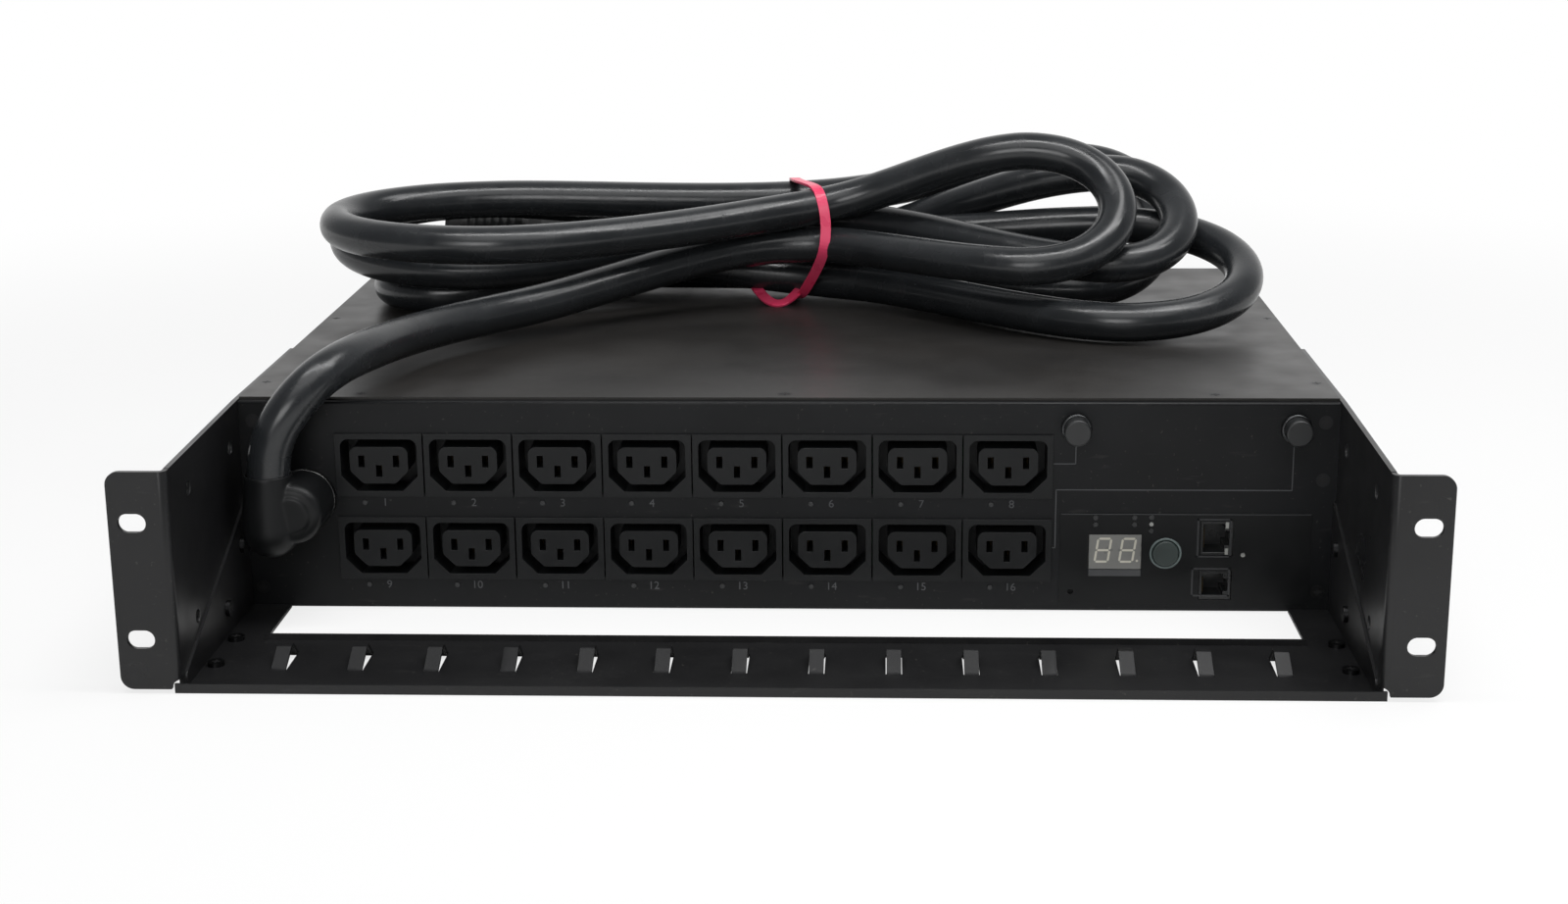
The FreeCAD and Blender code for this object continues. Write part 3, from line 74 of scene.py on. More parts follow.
# The studio
# A seamless paper floor, pale and matt, that turns pure white away from the object, in a dim room that is
# white to the eye, and in gloss only far behind.  The tube draws the bright line along the cord.
MM = 0.001
FLOOR_HALF = 8.0
FLOOR_DROP = 0.2 * MM
FLOOR_FADE = (0.4, 1.1)     # metres from the middle over which the paper turns white
FLOOR_WHITE = 0.75          # share of white that the eye sees near the object
ROOM = (0.18, 0.42)         # light of the room in front and behind
BEHIND = (-0.3, 0.3)        # depth of a direction, over which the room's light changes
FAR_BEHIND = (0.4, 0.9)     # and over which gloss begins to see white
# Each lamp's name, place, aim and size in metres, and its power in watts.
LAMPS = [("soft box", (0.1, -0.8, 1.3), (0.0, 0.05, 0.1), (1.4, 0.8), 5.5),
         ("tube", (0.3, -0.25, 1.2), (0.3, 0.05, 0.12), (1.6, 0.12), 9.0),
         ("side box", (0.55, 0.05, 1.35), (-0.05, 0.05, 0.1), (0.5, 0.4), 3.0),
         ("front lamp", (-0.4, -2.1, 0.8), (0.0, 0.0, 0.05), (1.0, 0.7), 10.0)]


def srgb(text):
    """Linear colour of an sRGB hex value, by the standard's two-part curve."""
    coded = np.array([int(text[i:i + 2], 16) for i in (1, 3, 5)]) / 255
    linear = np.where(coded <= 0.04045, coded / 12.92, ((coded + 0.055) / 1.055) ** 2.4)
    return (*linear, 1.0)


def add(tree, kind, inputs=None, **settings):
    """Adds a node: settings are its properties, inputs its sockets, each a value or another node's output."""
    made = tree.nodes.new(kind)
    for name, value in settings.items():
        setattr(made, name, value)
    for socket, value in (inputs or {}).items():
        if isinstance(value, bpy.types.NodeSocket):
            tree.links.new(value, made.inputs[socket])
        else:
            made.inputs[socket].default_value = value
    return made


def new_tree(owner):
    """The emptied node tree of a material or a world."""
    owner.use_nodes = True
    owner.node_tree.nodes.clear()
    return owner.node_tree


def new_piece(name, points, faces, smooth=False):
    """An object at the origin from an array of points and an array of faces."""
    mesh = bpy.data.meshes.new(name)
    corners = np.asarray(points, float).reshape(-1, 3).tolist()
    mesh.from_pydata(corners, [], [list(map(int, face)) for face in faces])
    mesh.polygons.foreach_set("use_smooth", [smooth] * len(mesh.polygons))
    piece = bpy.data.objects.new(name, mesh)
    bpy.context.scene.collection.objects.link(piece)
    return piece


paper = bpy.data.materials.new("seamless paper")
tree = new_tree(paper)
spot = add(tree, "ShaderNodeTexCoord").outputs["Object"]
distance = add(tree, "ShaderNodeVectorMath", {0: spot}, operation="LENGTH").outputs["Value"]
fade = add(tree, "ShaderNodeMapRange",
           {"Value": distance, "From Min": FLOOR_FADE[0], "From Max": FLOOR_FADE[1]},
           interpolation_type="SMOOTHSTEP").outputs["Result"]
rays = add(tree, "ShaderNodeLightPath").outputs
mirrored = add(tree, "ShaderNodeMath", {0: rays["Is Glossy Ray"], 1: rays["Is Transmission Ray"]},
               operation="MAXIMUM").outputs["Value"]
unlit = add(tree, "ShaderNodeMath", {0: mirrored, 1: fade}, operation="MULTIPLY").outputs["Value"]
paler = add(tree, "ShaderNodeMapRange", {"Value": fade, "To Min": FLOOR_WHITE}).outputs["Result"]
seen = add(tree, "ShaderNodeMath", {0: rays["Is Camera Ray"], 1: paler},
           operation="MULTIPLY").outputs["Value"]
share = add(tree, "ShaderNodeMath", {0: seen, 1: unlit}, operation="MAXIMUM").outputs["Value"]
matt = add(tree, "ShaderNodeBsdfDiffuse", {"Color": srgb("#f4f4f3")}).outputs["BSDF"]
white = add(tree, "ShaderNodeEmission", {"Strength": 1.0}).outputs["Emission"]
mixed = add(tree, "ShaderNodeMixShader", {0: share, 1: matt, 2: white}).outputs["Shader"]
add(tree, "ShaderNodeOutputMaterial", {"Surface": mixed})

corners = np.array([[-1, -1], [1, -1], [1, 1], [-1, 1]]) * FLOOR_HALF
floor = new_piece("floor", np.column_stack([corners, np.full(4, -FLOOR_DROP)]), [(0, 1, 2, 3)])
floor.data.materials.append(paper)

for name, place, target, size, power in LAMPS:
    light = bpy.data.lights.new(name, "AREA")
    light.shape = "RECTANGLE"
    light.size, light.size_y = size
    light.energy = power
    lamp = bpy.data.objects.new(name, light)
    aim = (Vector(target) - Vector(place)).to_track_quat("-Z", "Y")
    lamp.matrix_world = Matrix.Translation(place) @ aim.to_matrix().to_4x4()
    bpy.context.scene.collection.objects.link(lamp)

world = bpy.data.worlds.new("studio")
bpy.context.scene.world = world
tree = new_tree(world)
rays = add(tree, "ShaderNodeLightPath").outputs
way = add(tree, "ShaderNodeTexCoord").outputs["Generated"]
depth = add(tree, "ShaderNodeSeparateXYZ", {"Vector": way}).outputs["Y"]
behind = add(tree, "ShaderNodeMapRange", {"Value": depth, "From Min": BEHIND[0], "From Max": BEHIND[1]},
             interpolation_type="SMOOTHSTEP").outputs["Result"]
far = add(tree, "ShaderNodeMapRange", {"Value": depth, "From Min": FAR_BEHIND[0], "From Max": FAR_BEHIND[1]},
          interpolation_type="SMOOTHSTEP").outputs["Result"]
mirrored = add(tree, "ShaderNodeMath", {0: rays["Is Glossy Ray"], 1: far},
               operation="MULTIPLY").outputs["Value"]
direct = add(tree, "ShaderNodeMath", {0: rays["Is Camera Ray"], 1: rays["Is Transmission Ray"]},
             operation="MAXIMUM").outputs["Value"]
share = add(tree, "ShaderNodeMath", {0: direct, 1: mirrored}, operation="MAXIMUM").outputs["Value"]
strength = add(tree, "ShaderNodeMapRange",
               {"Value": behind, "To Min": ROOM[0], "To Max": ROOM[1]}).outputs["Result"]
room = add(tree, "ShaderNodeBackground", {"Color": srgb("#f2f4f7"), "Strength": strength})
backdrop = add(tree, "ShaderNodeBackground", {"Color": srgb("#ffffff")})
shown = add(tree, "ShaderNodeMixShader", {0: share, 1: room.outputs["Background"],
                                          2: backdrop.outputs["Background"]}).outputs["Shader"]
add(tree, "ShaderNodeOutputWorld", {"Surface": shown})

# The steel box: chassis, cover and front panel
# Folded 1.2 mm steel sheet with a powder coat: sprayed dry and baked, it is a satin black skin with a fine
# orange peel, greyed by dust and scuffed where cords and other boxes have slid over it.
EDGE = 0.35 * MM
PEEL = 0.9 * MM
DRIFT = 70.0 * MM           # width of a patch of one shade
GLOSS_DRIFT = DRIFT / 3     # and of one gloss
PAINT_GLOSS = (-0.05, 0.06)  # how far the roughness drifts
SPECK = 1.6 * MM            # dust, drawn coarser than it is so that it shows
SPECK_PEAK = (0.69, 0.76)   # the peaks of the noise that are specks
SPECK_SHARE = 0.35
SCUFF = (14.0 * MM, 1.1 * MM, 3.0 * MM)
SCUFF_TURN = 0.5            # radians
SCUFF_PEAK = (0.66, 0.80)
SCUFF_SHARE = 0.3
NOISE_LOW = 0.3             # soft noise lies between these
NOISE_HIGH = 0.7
SHARP = math.radians(40)
FLAT = math.radians(0.5)
WELD = 0.002 * MM


def new_finish(name):
    """An empty material; returns it with its tree and its Object coordinates."""
    made = bpy.data.materials.new(name)
    tree = new_tree(made)
    return made, tree, add(tree, "ShaderNodeTexCoord").outputs["Object"]


def powder_coat(name, dark, light, roughness, peel, gleam):
    """Baked powder.  Soft noise drifts its colour from dark to light in wide patches and its gloss in smaller
    ones.  The peaks of finer noise are dust, those of stretched noise are scuffs, and the finest noise is the
    orange peel."""
    made, tree, place = new_finish(name)
    drift = add(tree, "ShaderNodeTexNoise", {"Vector": place, "Scale": 1 / DRIFT}).outputs["Fac"]
    shade = add(tree, "ShaderNodeMapRange",
                {"Value": drift, "From Min": NOISE_LOW, "From Max": NOISE_HIGH}).outputs["Result"]
    grit = add(tree, "ShaderNodeTexNoise", {"Vector": place, "Scale": 1 / SPECK}).outputs["Fac"]
    speck = add(tree, "ShaderNodeMapRange",
                {"Value": grit, "From Min": SPECK_PEAK[0], "From Max": SPECK_PEAK[1],
                 "To Max": SPECK_SHARE}).outputs["Result"]
    stretched = add(tree, "ShaderNodeMapping",
                    {"Vector": place, "Scale": tuple(1 / side for side in SCUFF),
                     "Rotation": (0.0, 0.0, SCUFF_TURN)}).outputs["Vector"]
    rubs = add(tree, "ShaderNodeTexNoise", {"Vector": stretched, "Scale": 1.0}).outputs["Fac"]
    scuff = add(tree, "ShaderNodeMapRange",
                {"Value": rubs, "From Min": SCUFF_PEAK[0], "From Max": SCUFF_PEAK[1],
                 "To Max": SCUFF_SHARE}).outputs["Result"]
    paint = add(tree, "ShaderNodeMix", {"Factor": shade, "A": srgb(dark), "B": srgb(light)},
                data_type="RGBA").outputs["Result"]
    dusted = add(tree, "ShaderNodeMix", {"Factor": speck, "A": paint, "B": srgb("#55534f")},
                 data_type="RGBA").outputs["Result"]
    rubbed = add(tree, "ShaderNodeMix", {"Factor": scuff, "A": dusted, "B": srgb("#3c3b3a")},
                 data_type="RGBA").outputs["Result"]
    haze = add(tree, "ShaderNodeTexNoise", {"Vector": place, "Scale": 1 / GLOSS_DRIFT}).outputs["Fac"]
    gloss = add(tree, "ShaderNodeMapRange",
                {"Value": haze, "From Min": NOISE_LOW, "From Max": NOISE_HIGH,
                 "To Min": roughness + PAINT_GLOSS[0],
                 "To Max": roughness + PAINT_GLOSS[1]}).outputs["Result"]
    orange = add(tree, "ShaderNodeTexNoise", {"Vector": place, "Scale": 1 / PEEL}).outputs["Fac"]
    bump = add(tree, "ShaderNodeBump",
               {"Height": orange, "Distance": peel, "Strength": 1.0}).outputs["Normal"]
    shader = add(tree, "ShaderNodeBsdfPrincipled",
                 {"Base Color": rubbed, "Roughness": gloss, "Normal": bump, "IOR": 1.5,
                  "Specular IOR Level": gleam}).outputs["BSDF"]
    add(tree, "ShaderNodeOutputMaterial", {"Surface": shader})
    return made


def coat(material, *names):
    """Gives nodes a material in place of the one that they came with."""
    for name in names:
        nodes[name].data.materials.clear()
        nodes[name].data.materials.append(material)


def bevelled(piece, radius):
    """Rounds the sharp edges of a piece."""
    bevel = piece.modifiers.new("rounded", "BEVEL")
    bevel.width = radius
    bevel.segments = 2
    bevel.limit_method = "ANGLE"
    bevel.angle_limit = SHARP
    bevel.harden_normals = True


def round_edges(radius, *names):
    """Rounds the sharp edges of nodes so that they catch light: loose triangles are welded, those of a flat
    face are joined, and the edges that are left are bevelled."""
    for name in names:
        node = nodes[name]
        weld = node.modifiers.new("welded", "WELD")
        weld.merge_threshold = WELD
        flats = node.modifiers.new("flats", "DECIMATE")
        flats.decimate_type = "DISSOLVE"
        flats.angle_limit = FLAT
        bevelled(node, radius)


# The cover is a lighter, warmer copy of the coat, painted sheen for the bright reflection along it; the panel
# between the ears is a blacker copy, painted shade, with a shallower peel.
box_paint = powder_coat("powder coat on sheet steel", "#161617", "#1d1d1e", roughness=0.32, peel=0.02 * MM,
                        gleam=0.38)
cover_paint = powder_coat("powder coat lightened as painted sheen", "#242322", "#2d2b29", roughness=0.38, peel=0.02 * MM,
                          gleam=0.32)
panel_paint = powder_coat("powder coat darkened as painted shade", "#0f1011", "#141517", roughness=0.4, peel=0.015 * MM,
                          gleam=0.22)
coat(box_paint, "chassis_base")
coat(cover_paint, "top_cover")
coat(panel_paint, "front_panel")
round_edges(EDGE, "chassis_base", "top_cover", "front_panel")

# The rack brackets
# Two millimetre steel, folded out into ears with the rack's slots and screwed to the sides of the box.
# They wear the same satin powder coat.
coat(box_paint, "bracket_left", "bracket_right")
round_edges(EDGE, "bracket_left", "bracket_right")

# The cord tray
# One folded sheet across the front, screwed between the brackets, with bridges lanced up out of its floor to
# hold cord ties.  Its powder coat is duller, and shows as a flat black.
tray_paint = powder_coat("matt powder coat", "#131314", "#19191a", roughness=0.42, peel=0.02 * MM,
                         gleam=0.4)
coat(tray_paint, "cord_tray")
round_edges(EDGE, "cord_tray")

# The outlets
# Sixteen housings moulded in black glass-filled nylon, with a dull sheen, pushed into the panel.  Each has
# three bronze clips deep inside, coloured a dim brown: painted shade of the slots.
OUTLETS = ["outlet_%02d" % number for number in range(1, 17)]
OUTLET_EDGE = 0.3 * MM
MOULD_GRAIN = 0.5 * MM      # the tool's spark-eroded grain, drawn coarser than it is so that it shows
MOULD_RELIEF = 0.012 * MM
SHADE_PATCH = 18 * MM
GLOSS_PATCH = 9 * MM
MOULD_GLOSS = 0.05          # how far the roughness drifts either way
METAL_GLOSS = (-0.06, 0.08)  # and along the streaks of a metal


def moulding(name, dark, light, roughness, grain=MOULD_GRAIN, depth=MOULD_RELIEF, gleam=0.5):
    """Moulded plastic or rubber: soft noise drifts its colour from dark to light, wider than its gloss, and
    fine noise is the grain that the tool leaves."""
    made, tree, place = new_finish(name)
    drift = add(tree, "ShaderNodeTexNoise", {"Vector": place, "Scale": 1 / SHADE_PATCH}).outputs["Fac"]
    shade = add(tree, "ShaderNodeMapRange",
                {"Value": drift, "From Min": NOISE_LOW, "From Max": NOISE_HIGH}).outputs["Result"]
    colour = add(tree, "ShaderNodeMix", {"Factor": shade, "A": srgb(dark), "B": srgb(light)},
                 data_type="RGBA").outputs["Result"]
    haze = add(tree, "ShaderNodeTexNoise", {"Vector": place, "Scale": 1 / GLOSS_PATCH}).outputs["Fac"]
    gloss = add(tree, "ShaderNodeMapRange",
                {"Value": haze, "From Min": NOISE_LOW, "From Max": NOISE_HIGH,
                 "To Min": roughness - MOULD_GLOSS,
                 "To Max": roughness + MOULD_GLOSS}).outputs["Result"]
    skin = add(tree, "ShaderNodeTexNoise", {"Vector": place, "Scale": 1 / grain}).outputs["Fac"]
    bump = add(tree, "ShaderNodeBump",
               {"Height": skin, "Distance": depth, "Strength": 1.0}).outputs["Normal"]
    shader = add(tree, "ShaderNodeBsdfPrincipled",
                 {"Base Color": colour, "Roughness": gloss, "Normal": bump, "IOR": 1.5,
                  "Specular IOR Level": gleam}).outputs["BSDF"]
    add(tree, "ShaderNodeOutputMaterial", {"Surface": shader})
    return made


def metal(name, dark, light, roughness, lay):
    """Drawn or plated metal: noise stretched along the lay shifts its colour and its gloss.  The lay is the
    size of a streak along each axis in millimetres, drawn coarser than it is so that it shows."""
    made, tree, place = new_finish(name)
    along = add(tree, "ShaderNodeMapping",
                {"Vector": place, "Scale": tuple(1 / (side * MM) for side in lay)}).outputs["Vector"]
    streak = add(tree, "ShaderNodeTexNoise", {"Vector": along, "Scale": 1.0, "Detail": 4.0}).outputs["Fac"]
    colour = add(tree, "ShaderNodeMix", {"Factor": streak, "A": srgb(dark), "B": srgb(light)},
                 data_type="RGBA").outputs["Result"]
    gloss = add(tree, "ShaderNodeMapRange",
                {"Value": streak, "From Min": NOISE_LOW, "From Max": NOISE_HIGH,
                 "To Min": roughness + METAL_GLOSS[0],
                 "To Max": roughness + METAL_GLOSS[1]}).outputs["Result"]
    shader = add(tree, "ShaderNodeBsdfPrincipled",
                 {"Base Color": colour, "Roughness": gloss, "Metallic": 1.0}).outputs["BSDF"]
    add(tree, "ShaderNodeOutputMaterial", {"Surface": shader})
    return made


coat(moulding("glass-filled nylon", "#131415", "#18191a", roughness=0.4, gleam=0.25), *OUTLETS)
round_edges(OUTLET_EDGE, *OUTLETS)
coat(metal("phosphor bronze darkened as painted shade", "#2f2718", "#40351f", roughness=0.42, lay=(2, 6, 0.3)), "outlet_contacts")

# The outlet numbers
# Plain figures from 1 to 16 under the outlets, screen-printed in grey ink that dries dull, a few hundredths
# of a millimetre thick.
INK = 0.03                  # half of the ink's thickness
NUMBER_SIZE = 4.6
NUMBER_SHIFT = 1.6          # right of the outlet's middle
NUMBER_DROP = 17.2          # below it
COLUMNS = 8
OUTLET_PITCH = 36.0
OUTLET_FIRST_X = -163.0
ROW_HEIGHTS = (60.3, 25.6)
panel_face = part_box("front_panel")[0].y / MM


def figures(places):
    """Figures in the built-in typeface: each (text, x, height) is stood up on the panel, and all join in one
    mesh."""
    joined = bmesh.new()
    for word, x, height in places:
        glyph = bpy.data.curves.new("figure", "FONT")
        glyph.body = word
        glyph.size = NUMBER_SIZE
        glyph.align_x = "CENTER"
        glyph.extrude = INK
        holder = bpy.data.objects.new("figure", glyph)
        flat = bpy.data.meshes.new_from_object(holder)
        flat.transform(Matrix.Translation((x, panel_face, height)) @ Matrix.Rotation(math.pi / 2, 4, "X"))
        joined.from_mesh(flat)
        bpy.data.meshes.remove(flat)
        bpy.data.curves.remove(glyph)
    bmesh.ops.scale(joined, vec=(MM, MM, MM), verts=joined.verts)
    made = bpy.data.meshes.new("outlet_numbers")
    joined.to_mesh(made)
    joined.free()
    piece = bpy.data.objects.new("outlet_numbers", made)
    bpy.context.scene.collection.objects.link(piece)
    return piece


number_places = [(str(COLUMNS * row + column + 1), OUTLET_FIRST_X + OUTLET_PITCH * column + NUMBER_SHIFT,
                  middle - NUMBER_DROP)
                 for row, middle in enumerate(ROW_HEIGHTS) for column in range(COLUMNS)]
numbers = figures(number_places)
ink = moulding("screen-printed ink", "#434446", "#4f5053", roughness=0.5)
numbers.data.materials.append(ink)
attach(numbers, "unit")

# The relay boards
# Glass-epoxy boards with the relays in sealed black cases, on posts behind the outlets, out of sight.
# Solder mask gives a clear green gloss; the light pipes are smoked plastic, dark grey while unlit.
TRACK = 3.2 * MM            # copper tracks, drawn coarser than they are so that they show
TRACK_WANDER = 6.0
TRACK_DETAIL = 0.2
WAVE = 0.3                  # a wave texture of scale 1 repeats about this often
TRACK_RANGE = (0.55, 0.62)  # the part of a wave that is the edge of a track


def circuit_board():
    """Solder mask over copper: the crests of a bent wave are tracks, paler under the green."""
    made, tree, place = new_finish("solder mask on glass epoxy")
    waves = add(tree, "ShaderNodeTexWave",
                {"Vector": place, "Scale": WAVE / TRACK, "Distortion": TRACK_WANDER,
                 "Detail Scale": TRACK_DETAIL}).outputs["Fac"]
    tracks = add(tree, "ShaderNodeMapRange",
                 {"Value": waves, "From Min": TRACK_RANGE[0], "From Max": TRACK_RANGE[1]}).outputs["Result"]
    green = add(tree, "ShaderNodeMix", {"Factor": tracks, "A": srgb("#0d4a2a"), "B": srgb("#1b6b40")},
                data_type="RGBA").outputs["Result"]
    shader = add(tree, "ShaderNodeBsdfPrincipled",
                 {"Base Color": green, "Roughness": 0.35, "IOR": 1.5}).outputs["BSDF"]
    add(tree, "ShaderNodeOutputMaterial", {"Surface": shader})
    return made


coat(circuit_board(), "relay_board_upper", "relay_board_lower", "control_board", "supply_board")
coat(moulding("sealed relay case", "#1a1b1d", "#232427", roughness=0.35), "relays")
coat(moulding("smoked light pipe", "#212223", "#2a2b2c", roughness=0.3), "outlet_lights", "status_lights")

# The breakers
# Moulded push-to-reset buttons, satin black, in threaded necks that ring nuts hold to the panel.  The nuts
# are black nickel, a thin bright edge.  A printed line runs from each to the outlet row that it feeds.
BUTTON_EDGE = 0.3 * MM
PANEL_SEAT = 0.0            # print on the panel itself
LINE_WIDTH = 0.4
# Corners of each line, as (x, height).
BREAKER_LINES = [[(115.7, 68.5), (115.7, 61.4), (107.2, 61.4)],
                 [(201.4, 68.5), (201.4, 50.7), (108.2, 50.7), (108.2, 26.6), (107.2, 26.6)]]


def plates(name, outlines, seat, material):
    """Flat plates that face the front: each outline of (x, height) corners, counter-clockwise, is carried
    from just in front of its seat (its distance before the panel's face) to just behind it, and capped at
    both ends."""
    outlines = np.asarray(outlines, float)
    count, sides = outlines.shape[:2]
    rings = np.empty((count, 2, sides, 3))
    rings[..., 0] = outlines[:, None, :, 0]
    rings[..., 2] = outlines[:, None, :, 1]
    rings[:, 0, :, 1] = panel_face - seat - INK
    rings[:, 1, :, 1] = panel_face - seat + INK
    first = (np.arange(count) * 2 * sides)[:, None]
    near = first + np.arange(sides)
    following = first + (np.arange(sides) + 1) % sides
    walls = np.stack([near, near + sides, following + sides, following], axis=2).reshape(-1, 4)
    piece = new_piece(name, rings * MM, [*near, *(near + sides)[:, ::-1], *walls])
    piece.data.materials.append(material)
    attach(piece, "unit")


def strokes(lines, width):
    """Rectangles of a width along each run of each line, longer by half the width at both ends."""
    starts = np.vstack([line[:-1] for line in lines])
    ends = np.vstack([line[1:] for line in lines])
    along = (ends - starts) / np.linalg.norm(ends - starts, axis=1)[:, None] * width / 2
    aside = along[:, ::-1] * (-1, 1)
    return np.stack([starts - along - aside, ends + along - aside, ends + along + aside,
                     starts - along + aside], axis=1)


coat(moulding("breaker button, moulded", "#191a1b", "#202122", roughness=0.38),
     "breaker_button_1", "breaker_button_2", "breaker_body_1", "breaker_body_2")
coat(metal("black nickel ring nut", "#3a3b3c", "#565758", roughness=0.3, lay=(0.4, 2, 0.4)), "breaker_nuts")
round_edges(BUTTON_EDGE, "breaker_button_1", "breaker_button_2", "breaker_nuts")
plates("breaker_lines", strokes(BREAKER_LINES, LINE_WIDTH), PANEL_SEAT, ink)

# The control area
# A printed polyester film, blacker and smoother than the panel, is stuck round the display, the select button
# in its ring and the reset pinhole.  The display's face is a milky diffuser; the jacks stand behind openings.
CONTROL_EDGE = 0.25 * MM
FILM_EDGE = 0.08 * MM
FILM_SEAT = 0.3             # print on the film
DISPLAY_SEAT = 0.5          # and on the display's face
DIGIT_LEFTS = (124.1, 133.9)
DIGIT_LOW = 21.0
DIGIT_WIDTH = 5.2
DIGIT_HEIGHT = 9.6
DIGIT_STROKE = 0.85
DIGIT_GAP = 0.2
DIGIT_LEAN = 0.14
POINT = (141.0, 21.4)
POINT_R = 0.5
LIT_LIGHTS = [(146.4, 36.6), (183.1, 23.9)]
LIT_R = 0.85
# A painted highlight along the film's top edge, from one end to the other as (x, height).
FILM_EDGE_HIGHLIGHT = [(110.6, 40.7), (209.4, 40.7)]
FILM_EDGE_HIGHLIGHT_WIDTH = 0.3
# Rectangles, as (left, right, low, high).
BAND = (121.8, 142.6, 14.9, 17.6)
JACK_FRAMES = [(165.0, 177.9, 23.2, 38.6), (163.3, 177.9, 6.8, 18.1)]
JACK_RIM = 0.7
LINK_WINDOWS = [(175.9, 177.2, 34.9, 37.5), (175.9, 177.2, 24.0, 26.6)]


def bars(left):
    """The seven bars of a figure eight: hexagons with pointed ends, leaned to the right in proportion to
    height."""
    side = left + DIGIT_WIDTH
    low = DIGIT_LOW
    high = low + DIGIT_HEIGHT
    waist = (low + high) / 2
    runs = np.array([[(left, low), (side, low)], [(left, waist), (side, waist)], [(left, high), (side, high)],
                     [(left, low), (left, waist)], [(left, waist), (left, high)],
                     [(side, low), (side, waist)], [(side, waist), (side, high)]])
    starts, ends = runs[:, 0], runs[:, 1]
    along = (ends - starts) / np.linalg.norm(ends - starts, axis=1)[:, None]
    half = DIGIT_STROKE / 2
    aside = along[:, ::-1] * (-1, 1) * half
    tip = along * DIGIT_GAP
    shoulder = along * (DIGIT_GAP + half)
    corners = np.stack([starts + tip, starts + shoulder - aside, ends - shoulder - aside, ends - tip,
                        ends - shoulder + aside, starts + shoulder + aside], axis=1)
    corners[..., 0] += DIGIT_LEAN * (corners[..., 1] - low)
    return corners


def discs(middles, radius, sides):
    """Regular polygons of one radius about each middle."""
    angle = np.arange(sides) * 2 * math.pi / sides
    return np.array(middles)[:, None] + radius * np.column_stack([np.cos(angle), np.sin(angle)])


def rectangles(sides):
    """Rectangles from rows of (left, right, low, high)."""
    return [[(x0, z0), (x1, z0), (x1, z1), (x0, z1)] for x0, x1, z0, z1 in sides]


coat(moulding("printed polyester film", "#0d0e0f", "#121314", roughness=0.36, grain=0.8 * MM,
              depth=0.006 * MM, gleam=0.22), "control_overlay")
coat(moulding("diffusing display face", "#6a6a68", "#777774", roughness=0.3), "display_module")
# The button and its ring are soft greys with a green cast, and the jacks a blacker, smoother plastic.
coat(moulding("select button cap", "#28312f", "#303a38", roughness=0.42), "select_button")
coat(moulding("select button ring", "#566160", "#636e6d", roughness=0.4), "select_ring")
coat(moulding("reset plunger", "#2a2a2b", "#333334", roughness=0.4), "reset_button", "push_switches")
coat(moulding("jack moulding", "#0f1011", "#161718", roughness=0.3), "network_jack", "serial_jack")
# Gold flash deep in the jacks is coloured a dull brown, painted shade of the openings; zinc is pale and
# streaked, on posts out of sight.
coat(metal("gold-flashed wire darkened as painted shade", "#3a3020", "#4c4029", roughness=0.34, lay=(2, 2, 0.3)), "jack_wires")
coat(metal("zinc-plated post", "#a9aaac", "#c8c9ca", roughness=0.35, lay=(1, 1, 1)),
     "board_posts", "earth_stud")
round_edges(CONTROL_EDGE, "select_button", "select_ring", "display_module", "network_jack", "serial_jack")
round_edges(FILM_EDGE, "control_overlay")

# Unlit segments are cream, the film's printed band is a dull grey, a grey line along the film's top edge is a
# painted highlight, and a clear lens over a white light is paler.
cream = moulding("display segment, unlit", "#b7b4a7", "#c2bfb2", roughness=0.35)
plates("display_digits", np.vstack([bars(left) for left in DIGIT_LEFTS]), DISPLAY_SEAT, cream)
plates("display_points", discs([POINT], POINT_R, sides=12), DISPLAY_SEAT, cream)
grey_band = moulding("grey printed band", "#37383a", "#3f4042", roughness=0.4)
plates("display_band", rectangles([BAND]), FILM_SEAT, grey_band)
painted_edge_highlight = moulding("painted highlight along the film's top edge", "#333436", "#3b3c3e", roughness=0.4)
plates("film_edge_highlight", strokes([FILM_EDGE_HIGHLIGHT], FILM_EDGE_HIGHLIGHT_WIDTH), FILM_SEAT, painted_edge_highlight)
clear = moulding("clear lens over a white light", "#8c8d89", "#999a96", roughness=0.2)
plates("lit_lights", discs(LIT_LIGHTS, LIT_R, sides=16), FILM_SEAT, clear)
jack_frame = moulding("moulded jack frame", "#232426", "#2b2c2e", roughness=0.4)
jack_rims = [corners + corners[:1] for corners in rectangles(JACK_FRAMES)]
plates("jack_frames", strokes(jack_rims, JACK_RIM), FILM_SEAT, jack_frame)
plates("link_windows", rectangles(LINK_WINDOWS), PANEL_SEAT, clear)

# On the floor of the box
# The supply transformer of varnished laminations, dull brown with fine layers, potted current sensors in
# smooth blue resin and a black barrier strip, all screwed down inside.
coat(metal("varnished laminations", "#4a4641", "#5d5852", roughness=0.5, lay=(8, 0.5, 8)),
     "supply_transformer")
coat(moulding("potted sensor", "#18243f", "#223156", roughness=0.35), "current_sensors")
coat(moulding("barrier strip", "#1b1b1c", "#242425", roughness=0.4), "terminal_block")

